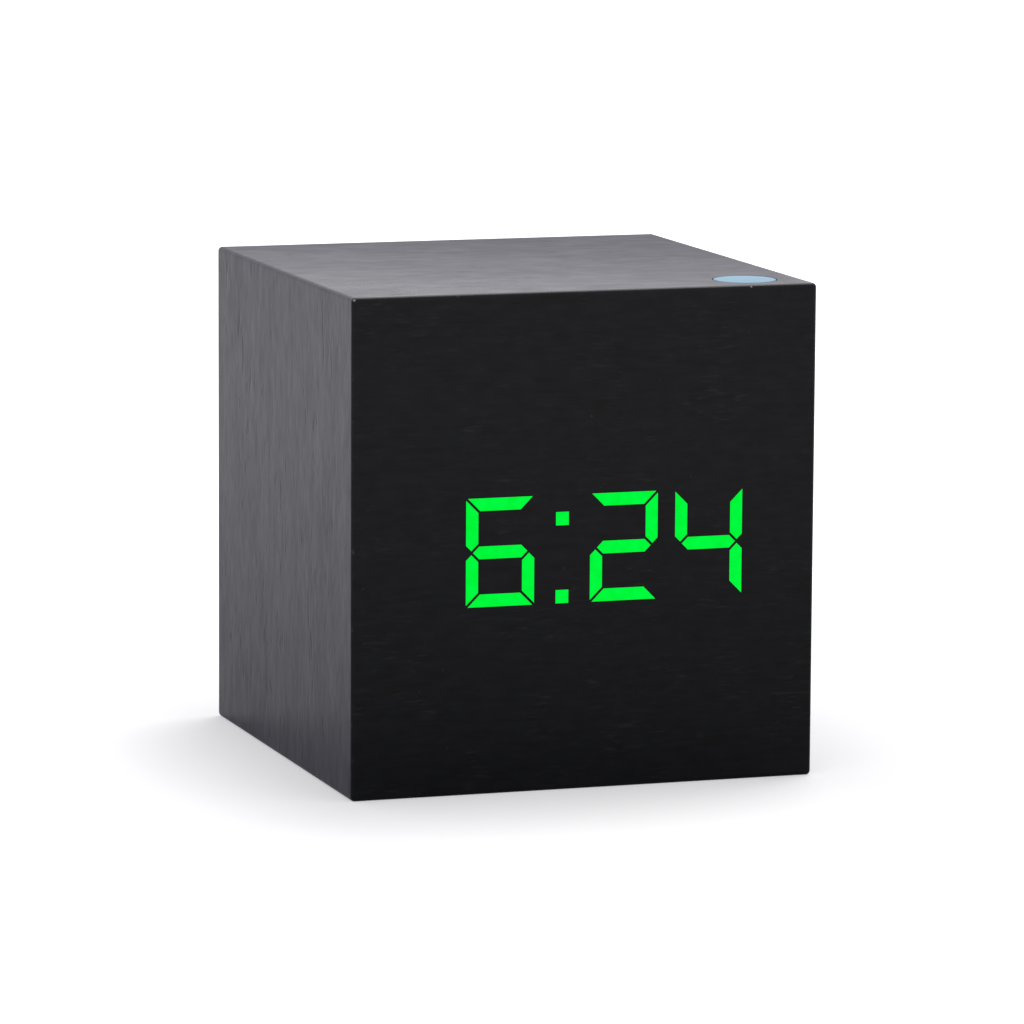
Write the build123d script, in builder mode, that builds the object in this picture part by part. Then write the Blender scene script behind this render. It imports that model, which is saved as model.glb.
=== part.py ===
from build123d import *
from math import ceil, cos, pi, sin, sqrt
import os

# A cube-shaped desk clock: a mitred wooden case with a light-up display behind its front film, a
# push button in its top, and a screwed rear cover with a battery box, three keys and a socket.
# Millimetres, +Z up. The display faces -Y, and the origin is the middle of the underside.

os.makedirs("parts", exist_ok=True)

# Case
case_width = 67.0
case_depth = 67.0
case_height = 69.0
board_thickness = 4.0
edge_radius = 0.6
film_thickness = 0.4

# Gaps that several fits share
thread_clearance = 0.05
seat_gap = 0.1
slide_clearance = 0.1
panel_clearance = 0.2
cut_overrun = 1.0
press_travel = 0.5

# Digits of the display
digit_width = 9.8
digit_height = 15.0
segment_width = 1.75
corner_gap = 0.36
waist_gap = 0.54
waist_bar_tip = 1.0
digit_pitch = 12.36
hour_to_minute_pitch = 17.87
colon_dot = 1.85
colon_spacing = 10.8
display_centre_x = 0.6
digit_top_drop = 27.95

# Display module
reflector_depth = 8.0
reflector_side_margin = 0.8
reflector_end_margin = 1.6
chip_room = 0.7
led_chip_side = 1.2
led_chip_height = 0.6
display_board_side_gap = 1.5
display_board_height = 35.0
display_board_thickness = 1.6
display_screw_side_inset = 2.7
display_screw_end_inset = 3.0
display_screw_diameter = 2.0
display_screw_head_diameter = 3.8
display_screw_head_height = 1.3
display_screw_bite = 2.8
pilot_hole_extra = 0.3
spacer_diameter = 4.0
spacer_bore_clearance = 0.2

# Parts on the back of the display board
clock_chip_side = 9.0
clock_chip_height = 1.5
clock_chip_standoff = 0.15
chip_leg_count = 8
chip_leg_width = 0.4
chip_leg_thickness = 0.2
chip_leg_reach = 1.4
crystal_diameter = 2.0
crystal_length = 6.0
buzzer_diameter = 12.0
buzzer_height = 7.5
buzzer_hole_diameter = 2.0
buzzer_hole_depth = 1.5
capacitor_diameter = 5.0
capacitor_height = 8.0
resistor_length = 2.0
resistor_width = 1.2
resistor_height = 0.5
resistor_count = 6
resistor_pitch = 2.4
header_width = 10.0
header_height = 3.0
header_depth = 2.5

# Top button
button_side_inset = 8.1
button_front_inset = 7.0
cap_diameter = 8.8
cap_rim_gap = 0.15
cap_thickness = 1.4
cap_crown = 0.2
cap_floor_gap = 0.3
stem_diameter = 3.8
stem_reach = 2.6
retainer_diameter = 5.2
retainer_thickness = 0.6
snooze_plunger_diameter = 2.4
snooze_plunger_length = 2.2
snooze_switch_side = 4.5
snooze_switch_height = 2.9
snooze_switch_gap = 0.9
plunger_side_clearance = 0.2
snooze_board_depth = 9.5
snooze_board_thickness = 1.0
snooze_board_side_gap = 1.0
bracket_thickness = 1.6
bracket_front_gap = 0.5
bracket_wall_reach = 6.2
bracket_flange_length = 9.1
bracket_screw_diameter = 2.0
bracket_screw_head_diameter = 3.6
bracket_screw_head_height = 1.2
bracket_screw_bite = 3.0
bracket_screw_spacing = 5.5

# Rear cover and what fixes it
cover_recess = 1.5
cover_thickness = 2.0
corner_block_side = 6.2
corner_block_length = 14.0
rear_screw_diameter = 2.2
rear_screw_head_diameter = 4.2
rear_screw_length = 8.0
countersink_angle = 90.0
sound_hole_diameter = 1.5
sound_hole_pitch = 3.4
sound_hole_count = 7

# Battery box
cell_nub_diameter = 3.8
cell_nub_length = 0.8
cell_edge_radius = 0.4
cell_count = 3
cell_gap = 0.3
box_wall = 1.2
box_floor = 1.2
box_end_room = 0.5
box_door_room = 0.9
box_flange_reach = 2.0
box_flange_thickness = 1.5
box_lift = 9.6
box_headroom = 15.6
cradle_rib_width = 1.0
cradle_rib_share = 0.2
contact_thickness = 0.4
contact_side_gap = 1.25
contact_tag_width = 3.0
contact_tag_reach = 1.0
contact_slot_clearance = 0.1
spring_length = 5.1
spring_coil_radius = 3.0
spring_wire_diameter = 0.5
spring_bend_radius = 0.6
spring_turns = 2.5

# Battery door and its latch
cover_side_lip = 2.4
door_thickness = 1.9
door_side_lap = 0.1
door_bottom_lap = 2.6
door_top_lap = 3.4
door_corner_radius = 1.0
door_tab_width = 8.0
door_tab_spacing = 30.0
door_tab_thickness = 0.8
door_tab_drop = 1.5
door_tab_root = 0.8
door_side_gap = 0.3
grip_groove_count = 5
grip_groove_pitch = 1.8
grip_groove_width = 0.8
grip_groove_depth = 0.4
grip_groove_length = 16.0
grip_drop = 8.0
latch_width = 10.0
latch_thickness = 0.8
latch_bend_radius = 0.6
latch_leg_length = 3.2
latch_top_drop = 0.2
latch_hook_height = 0.9
latch_hook_length = 1.6
latch_pad_height = 1.7
latch_pad_depth = 1.0
latch_side_gap = 0.2

# Keys
key_names = ("set", "up", "down")
key_row_end_room = 4.5
key_row_centre_share = -0.2
key_pitch_share = 0.38
key_flange_spacing = 2.1
key_flange_lip = 0.7
key_flange_thickness = 1.0
key_stand_out = 1.0
key_edge_radius = 0.3
key_row_drop = 6.0
key_switch_spacing = 3.5
key_switch_wall = 1.3
key_switch_height = 3.5
key_plunger_length = 1.8
key_plunger_stand_out = 0.9
key_boss_length = 0.5
key_board_block_gap = 2.4
key_board_socket_gap = 1.1
key_board_height = 10.2
key_board_thickness = 1.6
post_diameter = 3.6
post_drop = 3.6
key_screw_diameter = 1.6
key_screw_head_diameter = 3.0
key_screw_head_height = 1.0
key_screw_length = 5.0

# Power socket
socket_place_share = 0.64
socket_flange_diameter = 10.0
socket_flange_thickness = 1.2
socket_barrel_diameter = 8.0
socket_barrel_length = 12.0
socket_bore_diameter = 5.7
socket_bore_depth = 9.5
socket_pin_diameter = 2.0
socket_pin_recess = 0.8
socket_tag_reach = 2.5
socket_tag_width = 2.2
socket_tag_thickness = 0.5
socket_tag_offset = 2.8
nut_across_flats = 10.0
nut_thickness = 2.0

# Leads inside the case
lead_diameter = 1.2
lead_exit = 6.0
lead_sag = 7.0
lead_bend_radius = 2.5
lead_spacing = 2.4
battery_pad_share = -0.62
snooze_lead_diameter = 0.9
snooze_lead_spacing = 1.6
snooze_lead_exit = 7.0
snooze_lead_rise = 3.0
snooze_lead_bend_radius = 1.3
ribbon_width = 8.0
ribbon_thickness = 0.8
ribbon_exit = 6.0
ribbon_bend_radius = 3.0

# Faces of the case that the other pieces are set against
half_width = case_width / 2
front_y = -case_depth / 2
back_y = case_depth / 2
film_back_y = front_y + film_thickness
inner_half_width = half_width - board_thickness
inner_front_y = front_y + board_thickness
inner_bottom_z = board_thickness
inner_top_z = case_height - board_thickness
cover_outer_y = back_y - cover_recess
cover_inner_y = cover_outer_y - cover_thickness


def facing_front(y):
    """Upright plane at depth y that faces -Y, with its own axes along +X and +Z."""
    return Plane.XZ.offset(-y)


def facing_back(x, y, z):
    """Upright plane at a point, whose normal is +Y."""
    return Plane(origin=(x, y, z), x_dir=(-1, 0, 0), z_dir=(0, 1, 0))


def make_screw(diameter, length, head_diameter, head_height, countersunk=False):
    """Cross-head screw whose shank runs down from z = 0 and whose head ends its top."""
    recess_length = head_diameter / 2
    recess_width = head_diameter / 8
    with BuildPart() as screw:
        with BuildSketch(Plane.XY):
            Circle(diameter / 2)
        extrude(amount=-length)
        with BuildSketch(Plane.XY):
            Circle(head_diameter / 2)
        if countersunk:
            extrude(amount=-head_height, taper=countersink_angle / 2)
            head_top = 0
        else:
            extrude(amount=head_height)
            head_top = head_height
            fillet(screw.edges().group_by(Axis.Z)[-1], head_height / 3)
        with BuildSketch(Plane.XY.offset(head_top)):
            Rectangle(recess_length, recess_width)
            Rectangle(recess_width, recess_length)
        extrude(amount=-head_height / 2, mode=Mode.SUBTRACT)
    return screw.part


# Outlines of the display's segments, from the lower left corner of a digit
mitre_share = cos(pi / 4)
corner_shift = corner_gap * mitre_share
waist_z = digit_height / 2
post_tip_x = waist_bar_tip - corner_gap / mitre_share + waist_gap / 2


def end_bar(low):
    """Corners of the top or the bottom bar, whose ends are mitred at 45 degrees."""
    corners = [
        (corner_shift, digit_height),
        (digit_width - corner_shift, digit_height),
        (digit_width - segment_width - corner_shift, digit_height - segment_width),
        (segment_width + corner_shift, digit_height - segment_width),
    ]
    return [(x, digit_height - z if low else z) for x, z in corners]


def post(right, low):
    """Corners of an upright segment: mitred at the digit's corner and pointed at its waist."""
    corners = [
        (0, digit_height - corner_shift),
        (segment_width, digit_height - segment_width - corner_shift),
        (segment_width, waist_z + waist_gap / 2 + segment_width - post_tip_x),
        (post_tip_x, waist_z + waist_gap / 2),
        (0, waist_z + waist_gap / 2 + post_tip_x),
    ]
    return [
        (digit_width - x if right else x, digit_height - z if low else z) for x, z in corners
    ]


waist_bar = [
    (waist_bar_tip, waist_z),
    (waist_bar_tip + segment_width / 2, waist_z + segment_width / 2),
    (digit_width - waist_bar_tip - segment_width / 2, waist_z + segment_width / 2),
    (digit_width - waist_bar_tip, waist_z),
    (digit_width - waist_bar_tip - segment_width / 2, waist_z - segment_width / 2),
    (waist_bar_tip + segment_width / 2, waist_z - segment_width / 2),
]

segments = {
    "a": end_bar(low=False),
    "b": post(right=True, low=False),
    "c": post(right=True, low=True),
    "d": end_bar(low=True),
    "e": post(right=False, low=True),
    "f": post(right=False, low=False),
    "g": waist_bar,
}

# Places of the digits. The first place shows only a 1, so it has just its two right-hand posts.
digit_base_z = case_height - digit_top_drop - digit_height
group_width = 2 * digit_pitch + hour_to_minute_pitch + segment_width
first_x = display_centre_x - group_width / 2 - (digit_width - segment_width)
hour_x = first_x + digit_pitch
tens_x = hour_x + hour_to_minute_pitch
units_x = tens_x + digit_pitch
colon_x = (hour_x + digit_width + tens_x) / 2
colon_dots = [(colon_x, digit_base_z + colon_dot / 2 + i * colon_spacing) for i in range(2)]
cell_digits = [(first_x, "bc"), (hour_x, "abcdefg"), (tens_x, "abcdefg"), (units_x, "abcdefg")]
lit_digits = {
    "lit_hour": (hour_x, "acdefg"),
    "lit_minute_tens": (tens_x, "abdeg"),
    "lit_minute_units": (units_x, "bcfg"),
}


def draw_segments(digit_x, letters):
    """Draw some segments of one digit in the open sketch."""
    with Locations((digit_x, digit_base_z)):
        for letter in letters:
            Polygon(*segments[letter])


def draw_colon():
    """Draw the colon's two dots in the open sketch."""
    with Locations(*colon_dots):
        Rectangle(colon_dot, colon_dot)


# Display module places
display_centre_z = digit_base_z + digit_height / 2
reflector_width = group_width + 2 * reflector_side_margin
reflector_height = digit_height + 2 * reflector_end_margin
display_board_width = 2 * (inner_half_width - display_board_side_gap)
board_front_y = film_back_y + reflector_depth
board_back_y = board_front_y + display_board_thickness
display_screw_half_x = display_board_width / 2 - display_screw_side_inset
display_screw_half_z = display_board_height / 2 - display_screw_end_inset
display_screw_places = [
    (side * display_screw_half_x, display_centre_z + end * display_screw_half_z)
    for side in (-1, 1)
    for end in (-1, 1)
]

# Top button places
button_x = half_width - button_side_inset
button_y = front_y + button_front_inset
cap_bottom_z = case_height - cap_thickness
counterbore_depth = cap_thickness + press_travel + cap_floor_gap
stem_bottom_z = inner_top_z - stem_reach
retainer_top_z = inner_top_z - seat_gap
snooze_switch_top_z = stem_bottom_z - snooze_switch_gap
snooze_board_top_z = snooze_switch_top_z - snooze_switch_height
snooze_board_bottom_z = snooze_board_top_z - snooze_board_thickness
bracket_wall_x = button_x - bracket_wall_reach
bracket_right_x = inner_half_width - snooze_board_side_gap
bracket_flange_x = bracket_wall_x - bracket_thickness - bracket_flange_length
snooze_board_left_x = bracket_wall_x + panel_clearance
bracket_front_y = inner_front_y + bracket_front_gap
bracket_middle_y = bracket_front_y + snooze_board_depth / 2
bracket_screw_x = (bracket_flange_x + bracket_wall_x - bracket_thickness) / 2
bracket_screw_places = [
    (bracket_screw_x, bracket_middle_y + side * bracket_screw_spacing / 2) for side in (-1, 1)
]

# Battery box and door places. The door fills the cover between its side lips, the box fills the door,
# and the cells fill the box, which stands between the sound holes and the row of keys.
opening_width = 2 * (inner_half_width - panel_clearance - cover_side_lip)
door_width = opening_width - 2 * door_side_gap
box_width = door_width - 2 * door_side_lap
box_height = inner_top_z - inner_bottom_z - box_lift - box_headroom
box_inner_width = box_width - 2 * box_wall
box_inner_height = box_height - 2 * box_wall
row_pitch = (box_inner_height - 2 * box_end_room) / cell_count
cell_diameter = row_pitch - cell_gap
cell_length = box_inner_width - 2 * contact_thickness - spring_length - 2 * seat_gap
contact_width = cell_diameter - 2 * contact_side_gap
cradle_rib_height = cell_diameter * cradle_rib_share
box_depth = box_floor + cell_gap + cell_diameter + box_door_room
box_front_y = cover_inner_y - box_depth
box_floor_y = box_front_y + box_floor
box_bottom_z = inner_bottom_z + box_lift
box_centre_z = box_bottom_z + box_height / 2
row_places = [box_centre_z + (i - (cell_count - 1) / 2) * row_pitch for i in range(cell_count)]
plus_sides = [1 if i % 2 == 0 else -1 for i in range(cell_count)]
contact_face_x = box_inner_width / 2 - contact_thickness
cell_y = box_floor_y + cell_gap + cell_diameter / 2
door_bottom_z = box_bottom_z - door_bottom_lap
door_top_z = box_bottom_z + box_height + door_top_lap
door_height = door_top_z - door_bottom_z
door_centre_z = (door_bottom_z + door_top_z) / 2
door_inner_y = cover_outer_y - door_thickness
opening_bottom_z = door_bottom_z - panel_clearance
opening_top_z = door_top_z + panel_clearance

# Key and socket places, along a row between the upper corner blocks
key_row_half_width = inner_half_width - key_row_end_room
key_row_centre_x = key_row_half_width * key_row_centre_share
key_pitch = key_row_half_width * key_pitch_share
socket_x = key_row_half_width * socket_place_share
key_flange_diameter = key_pitch - key_flange_spacing
key_diameter = key_flange_diameter - 2 * key_flange_lip
key_switch_side = key_pitch - key_switch_spacing
key_plunger_diameter = key_switch_side - 2 * key_switch_wall
key_row_z = inner_top_z - key_row_drop
key_places_x = [key_row_centre_x + (i - 1) * key_pitch for i in range(len(key_names))]
key_flange_y = cover_inner_y - seat_gap
key_boss_y = key_flange_y - key_flange_thickness - key_boss_length
key_switch_y = key_boss_y - key_plunger_stand_out
key_board_back_y = key_switch_y - key_switch_height
key_board_front_y = key_board_back_y - key_board_thickness
key_board_left_x = corner_block_side + key_board_block_gap - inner_half_width
key_board_right_x = socket_x - socket_barrel_diameter / 2 - key_board_socket_gap
key_post_places = [(x + key_pitch / 2, key_row_z - post_drop) for x in key_places_x[:-1]]
socket_end_y = cover_outer_y - socket_barrel_length

# The case is one rounded block, hollowed from the back and cut into a film and five mitred boards.
with BuildPart() as case_shell:
    with BuildSketch(Plane.XY):
        Rectangle(case_width, case_depth)
    extrude(amount=case_height)
    fillet(case_shell.edges(), edge_radius)
    with BuildSketch(facing_front(back_y)):
        with Locations((0, case_height / 2)):
            Rectangle(2 * inner_half_width, inner_top_z - inner_bottom_z)
    extrude(amount=back_y - inner_front_y, mode=Mode.SUBTRACT)

with BuildPart() as wooden_shell:
    add(case_shell.part)
    split(bisect_by=facing_front(film_back_y), keep=Keep.BOTTOM)

case_middle = Vector(0, 0, case_height / 2)
case_sides = {
    "top": (Vector(0, 0, 1), case_height / 2),
    "bottom": (Vector(0, 0, -1), case_height / 2),
    "left": (Vector(-1, 0, 0), case_width / 2),
    "right": (Vector(1, 0, 0), case_width / 2),
    "front": (Vector(0, -1, 0), case_depth / 2),
}


def cut_board(side):
    """Put one board of the case in the open part, mitred to each board beside it."""
    outward, reach = case_sides[side]
    add(wooden_shell.part)
    for neighbour, neighbour_reach in case_sides.values():
        if abs(outward.dot(neighbour)) < 0.5:
            shared_edge = case_middle + outward * reach + neighbour * neighbour_reach
            mitre = Plane(origin=shared_edge, z_dir=outward - neighbour)
            split(bisect_by=mitre, keep=Keep.TOP)


for side in ("left", "right", "bottom"):
    with BuildPart() as plain_board:
        cut_board(side)
    plain_board.part.label = f"{side}_board"
    export_step(plain_board.part, f"parts/{side}_board.step")

with BuildPart() as top_board:
    cut_board("top")
    with Locations((button_x, button_y, case_height)):
        CounterBoreHole(
            radius=stem_diameter / 2 + slide_clearance,
            counter_bore_radius=cap_diameter / 2 + cap_rim_gap,
            counter_bore_depth=counterbore_depth,
            depth=board_thickness + cut_overrun,
        )
    with BuildSketch(Plane.XY.offset(inner_top_z)):
        with Locations(*bracket_screw_places):
            Circle(bracket_screw_diameter / 2 + thread_clearance)
    extrude(amount=bracket_screw_bite + pilot_hole_extra, mode=Mode.SUBTRACT)
top_board.part.label = "top_board"
export_step(top_board.part, "parts/top_board.step")

with BuildPart() as front_board:
    cut_board("front")
    with BuildSketch(facing_front(inner_front_y)):
        with Locations((display_centre_x, display_centre_z)):
            Rectangle(
                reflector_width + 2 * slide_clearance, reflector_height + 2 * slide_clearance
            )
    extrude(amount=board_thickness, mode=Mode.SUBTRACT)
    with BuildSketch(facing_front(inner_front_y)):
        with Locations(*display_screw_places):
            Circle(display_screw_diameter / 2 + thread_clearance)
    extrude(amount=display_screw_bite + pilot_hole_extra, mode=Mode.SUBTRACT)
front_board.part.label = "front_board"
export_step(front_board.part, "parts/front_board.step")

# Front film, with the lit segments let into it as patches of their own
with BuildPart() as front_film:
    add(case_shell.part)
    split(bisect_by=facing_front(film_back_y), keep=Keep.TOP)
    with BuildSketch(facing_front(film_back_y)):
        for digit_x, letters in lit_digits.values():
            draw_segments(digit_x, letters)
        draw_colon()
    extrude(amount=film_thickness, mode=Mode.SUBTRACT)
front_film.part.label = "front_film"
export_step(front_film.part, "parts/front_film.step")

for name, (digit_x, letters) in lit_digits.items():
    with BuildPart() as lit_digit:
        with BuildSketch(facing_front(film_back_y)):
            draw_segments(digit_x, letters)
        extrude(amount=film_thickness)
    lit_digit.part.label = name
    export_step(lit_digit.part, f"parts/{name}.step")

with BuildPart() as lit_colon:
    with BuildSketch(facing_front(film_back_y)):
        draw_colon()
    extrude(amount=film_thickness)
lit_colon.part.label = "lit_colon"
export_step(lit_colon.part, "parts/lit_colon.step")

# Reflector block, the clear filling of its cells, and one light chip behind each cell
with BuildPart() as reflector_block:
    with BuildSketch(facing_front(board_front_y)):
        with Locations((display_centre_x, display_centre_z)):
            Rectangle(reflector_width, reflector_height)
        for digit_x, letters in cell_digits:
            with Locations((digit_x, digit_base_z)):
                for letter in letters:
                    Polygon(*segments[letter], mode=Mode.SUBTRACT)
        with Locations(*colon_dots):
            Rectangle(colon_dot, colon_dot, mode=Mode.SUBTRACT)
    extrude(amount=reflector_depth)
reflector_block.part.label = "reflector_block"
export_step(reflector_block.part, "parts/reflector_block.step")

with BuildPart() as light_cells:
    with BuildSketch(facing_front(board_front_y - chip_room)):
        for digit_x, letters in cell_digits:
            draw_segments(digit_x, letters)
        draw_colon()
    extrude(amount=reflector_depth - chip_room)
light_cells.part.label = "light_cells"
export_step(light_cells.part, "parts/light_cells.step")


def segment_middle(digit_x, letter):
    """Middle of a segment's extents, in the plane of the display."""
    across = [x for x, z in segments[letter]]
    upward = [z for x, z in segments[letter]]
    return (
        digit_x + (min(across) + max(across)) / 2,
        digit_base_z + (min(upward) + max(upward)) / 2,
    )


led_places = colon_dots + [
    segment_middle(digit_x, letter) for digit_x, letters in cell_digits for letter in letters
]
with BuildPart() as led_chips:
    with BuildSketch(facing_front(board_front_y)):
        with Locations(*led_places):
            Rectangle(led_chip_side, led_chip_side)
    extrude(amount=led_chip_height)
led_chips.part.label = "led_chips"
export_step(led_chips.part, "parts/led_chips.step")

# Display board on four spacers, screwed into the back of the front board
with BuildPart() as display_board:
    with BuildSketch(facing_front(board_back_y)):
        with Locations((0, display_centre_z)):
            Rectangle(display_board_width, display_board_height)
        with Locations(*display_screw_places):
            Circle(display_screw_diameter / 2 + spacer_bore_clearance, mode=Mode.SUBTRACT)
    extrude(amount=display_board_thickness)
display_board.part.label = "display_board"
export_step(display_board.part, "parts/display_board.step")

with BuildPart() as display_spacers:
    with BuildSketch(facing_front(board_front_y)):
        with Locations(*display_screw_places):
            Circle(spacer_diameter / 2)
            Circle(display_screw_diameter / 2 + spacer_bore_clearance, mode=Mode.SUBTRACT)
    extrude(amount=board_front_y - inner_front_y)
display_spacers.part.label = "display_spacers"
export_step(display_spacers.part, "parts/display_spacers.step")

display_screw = make_screw(
    display_screw_diameter,
    board_back_y - inner_front_y + display_screw_bite,
    display_screw_head_diameter,
    display_screw_head_height,
)
with BuildPart() as display_screws:
    with Locations(*[facing_back(x, board_back_y, z) for x, z in display_screw_places]):
        add(display_screw)
display_screws.part.label = "display_screws"
export_step(display_screws.part, "parts/display_screws.step")


def on_board(shares):
    """Place on the back of the display board, from shares of its half width and half height."""
    return (
        shares[0] * display_board_width / 2,
        display_centre_z + shares[1] * display_board_height / 2,
    )


# Parts soldered to the back of the display board
clock_chip_shares = (0.12, -0.05)
crystal_shares = (0.12, -0.55)
buzzer_shares = (-0.52, -0.3)
capacitor_shares = [(0.5, -0.5), (0.5, -0.05)]
resistor_shares = (0.02, 0.45)
header_share = -0.36

chip_x, chip_z = on_board(clock_chip_shares)
chip_front_y = board_back_y + clock_chip_standoff
with BuildPart() as clock_chip:
    with BuildSketch(facing_back(chip_x, chip_front_y, chip_z)):
        Rectangle(clock_chip_side, clock_chip_side)
    extrude(amount=clock_chip_height)
    chamfer(clock_chip.edges().group_by(Axis.Y)[-1], clock_chip_standoff)
clock_chip.part.label = "clock_chip"
export_step(clock_chip.part, "parts/clock_chip.step")

chip_leg_pitch = clock_chip_side / (chip_leg_count + 1)
chip_leg_y = chip_front_y + clock_chip_height / 2
chip_foot_x = chip_x + clock_chip_side / 2 + chip_leg_reach - chip_leg_thickness
with BuildPart() as chip_legs:
    with BuildSketch(Plane.YZ.offset(chip_x + clock_chip_side / 2)):
        with Locations((chip_leg_y, chip_z)):
            with GridLocations(0, chip_leg_pitch, 1, chip_leg_count):
                Rectangle(chip_leg_thickness, chip_leg_width)
    extrude(amount=chip_leg_reach)
    with BuildSketch(facing_front(chip_leg_y)):
        with Locations((chip_foot_x, chip_z)):
            with GridLocations(0, chip_leg_pitch, 1, chip_leg_count):
                Rectangle(2 * chip_leg_thickness, chip_leg_width)
    extrude(amount=chip_leg_y - board_back_y)
    mirror(about=Plane.YZ.offset(chip_x))
chip_legs.part.label = "chip_legs"
export_step(chip_legs.part, "parts/chip_legs.step")

crystal_x, crystal_z = on_board(crystal_shares)
with BuildPart() as crystal_can:
    crystal_plane = Plane.YZ.offset(crystal_x - crystal_length / 2)
    with BuildSketch(crystal_plane):
        with Locations((board_back_y + crystal_diameter / 2, crystal_z)):
            Circle(crystal_diameter / 2)
    extrude(amount=crystal_length)
    fillet(crystal_can.edges(), crystal_diameter / 8)
crystal_can.part.label = "crystal_can"
export_step(crystal_can.part, "parts/crystal_can.step")

buzzer_x, buzzer_z = on_board(buzzer_shares)
with BuildPart() as buzzer:
    with BuildSketch(facing_back(buzzer_x, board_back_y, buzzer_z)):
        Circle(buzzer_diameter / 2)
    extrude(amount=buzzer_height)
    with BuildSketch(facing_back(buzzer_x, board_back_y + buzzer_height, buzzer_z)):
        Circle(buzzer_hole_diameter / 2)
    extrude(amount=-buzzer_hole_depth, mode=Mode.SUBTRACT)
buzzer.part.label = "buzzer"
export_step(buzzer.part, "parts/buzzer.step")

with BuildPart() as capacitors:
    for shares in capacitor_shares:
        capacitor_x, capacitor_z = on_board(shares)
        with BuildSketch(facing_back(capacitor_x, board_back_y, capacitor_z)):
            Circle(capacitor_diameter / 2)
        extrude(amount=capacitor_height)
    fillet(capacitors.edges().group_by(Axis.Y)[-1], capacitor_diameter / 12)
capacitors.part.label = "capacitors"
export_step(capacitors.part, "parts/capacitors.step")

with BuildPart() as chip_resistors:
    with BuildSketch(facing_front(board_back_y)):
        with Locations(on_board(resistor_shares)):
            with GridLocations(resistor_pitch, 0, resistor_count, 1):
                Rectangle(resistor_width, resistor_length)
    extrude(amount=-resistor_height)
chip_resistors.part.label = "chip_resistors"
export_step(chip_resistors.part, "parts/chip_resistors.step")

# Top button: a stepped cap on a stem, held by a ring under the top board, over a small switch
button_axis = Axis((button_x, button_y, 0), (0, 0, 1))
cap_radius = cap_diameter / 2
stem_radius = stem_diameter / 2
with BuildPart() as snooze_button:
    with BuildSketch(Plane(origin=(button_x, button_y, 0), x_dir=(1, 0, 0), z_dir=(0, -1, 0))):
        with BuildLine():
            Polyline(
                (cap_radius, case_height),
                (cap_radius, cap_bottom_z),
                (stem_radius, cap_bottom_z),
                (stem_radius, stem_bottom_z),
                (0, stem_bottom_z),
                (0, case_height + cap_crown),
            )
            TangentArc(
                (0, case_height + cap_crown), (cap_radius, case_height), tangent=(1, 0)
            )
        make_face()
    revolve(axis=button_axis)
snooze_button.part.label = "snooze_button"
export_step(snooze_button.part, "parts/snooze_button.step")

with BuildPart() as snooze_retainer:
    with BuildSketch(Plane.XY.offset(retainer_top_z)):
        with Locations((button_x, button_y)):
            Circle(retainer_diameter / 2)
            Circle(stem_radius + thread_clearance, mode=Mode.SUBTRACT)
    extrude(amount=-retainer_thickness)
snooze_retainer.part.label = "snooze_retainer"
export_step(snooze_retainer.part, "parts/snooze_retainer.step")

with BuildPart() as snooze_plunger:
    with BuildSketch(Plane.XY.offset(stem_bottom_z)):
        with Locations((button_x, button_y)):
            Circle(snooze_plunger_diameter / 2)
    extrude(amount=-snooze_plunger_length)
snooze_plunger.part.label = "snooze_plunger"
export_step(snooze_plunger.part, "parts/snooze_plunger.step")

snooze_well_depth = snooze_plunger_length - snooze_switch_gap + press_travel + seat_gap
with BuildPart() as snooze_switch:
    with BuildSketch(Plane.XY.offset(snooze_board_top_z)):
        with Locations((button_x, button_y)):
            Rectangle(snooze_switch_side, snooze_switch_side)
    extrude(amount=snooze_switch_height)
    with BuildSketch(Plane.XY.offset(snooze_switch_top_z)):
        with Locations((button_x, button_y)):
            Circle(snooze_plunger_diameter / 2 + plunger_side_clearance)
    extrude(amount=-snooze_well_depth, mode=Mode.SUBTRACT)
snooze_switch.part.label = "snooze_switch"
export_step(snooze_switch.part, "parts/snooze_switch.step")

with BuildPart() as snooze_board:
    with BuildSketch(Plane.XY.offset(snooze_board_bottom_z)):
        with Locations(((snooze_board_left_x + bracket_right_x) / 2, bracket_middle_y)):
            Rectangle(bracket_right_x - snooze_board_left_x, snooze_board_depth)
    extrude(amount=snooze_board_thickness)
snooze_board.part.label = "snooze_board"
export_step(snooze_board.part, "parts/snooze_board.step")

with BuildPart() as snooze_bracket:
    with BuildSketch(facing_front(bracket_front_y + snooze_board_depth)):
        Polygon(
            (bracket_flange_x, inner_top_z),
            (bracket_flange_x, inner_top_z - bracket_thickness),
            (bracket_wall_x - bracket_thickness, inner_top_z - bracket_thickness),
            (bracket_wall_x - bracket_thickness, snooze_board_bottom_z - bracket_thickness),
            (bracket_right_x, snooze_board_bottom_z - bracket_thickness),
            (bracket_right_x, snooze_board_bottom_z),
            (bracket_wall_x, snooze_board_bottom_z),
            (bracket_wall_x, inner_top_z),
        )
    extrude(amount=snooze_board_depth)
    with BuildSketch(Plane.XY.offset(inner_top_z)):
        with Locations(*bracket_screw_places):
            Circle(bracket_screw_diameter / 2 + slide_clearance)
    extrude(amount=-bracket_thickness, mode=Mode.SUBTRACT)
snooze_bracket.part.label = "snooze_bracket"
export_step(snooze_bracket.part, "parts/snooze_bracket.step")

bracket_screw = make_screw(
    bracket_screw_diameter,
    bracket_thickness + bracket_screw_bite,
    bracket_screw_head_diameter,
    bracket_screw_head_height,
)
with BuildPart() as bracket_screws:
    for x, y in bracket_screw_places:
        with Locations(Plane(origin=(x, y, inner_top_z - bracket_thickness), z_dir=(0, 0, -1))):
            add(bracket_screw)
bracket_screws.part.label = "bracket_screws"
export_step(bracket_screws.part, "parts/bracket_screws.step")

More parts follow.
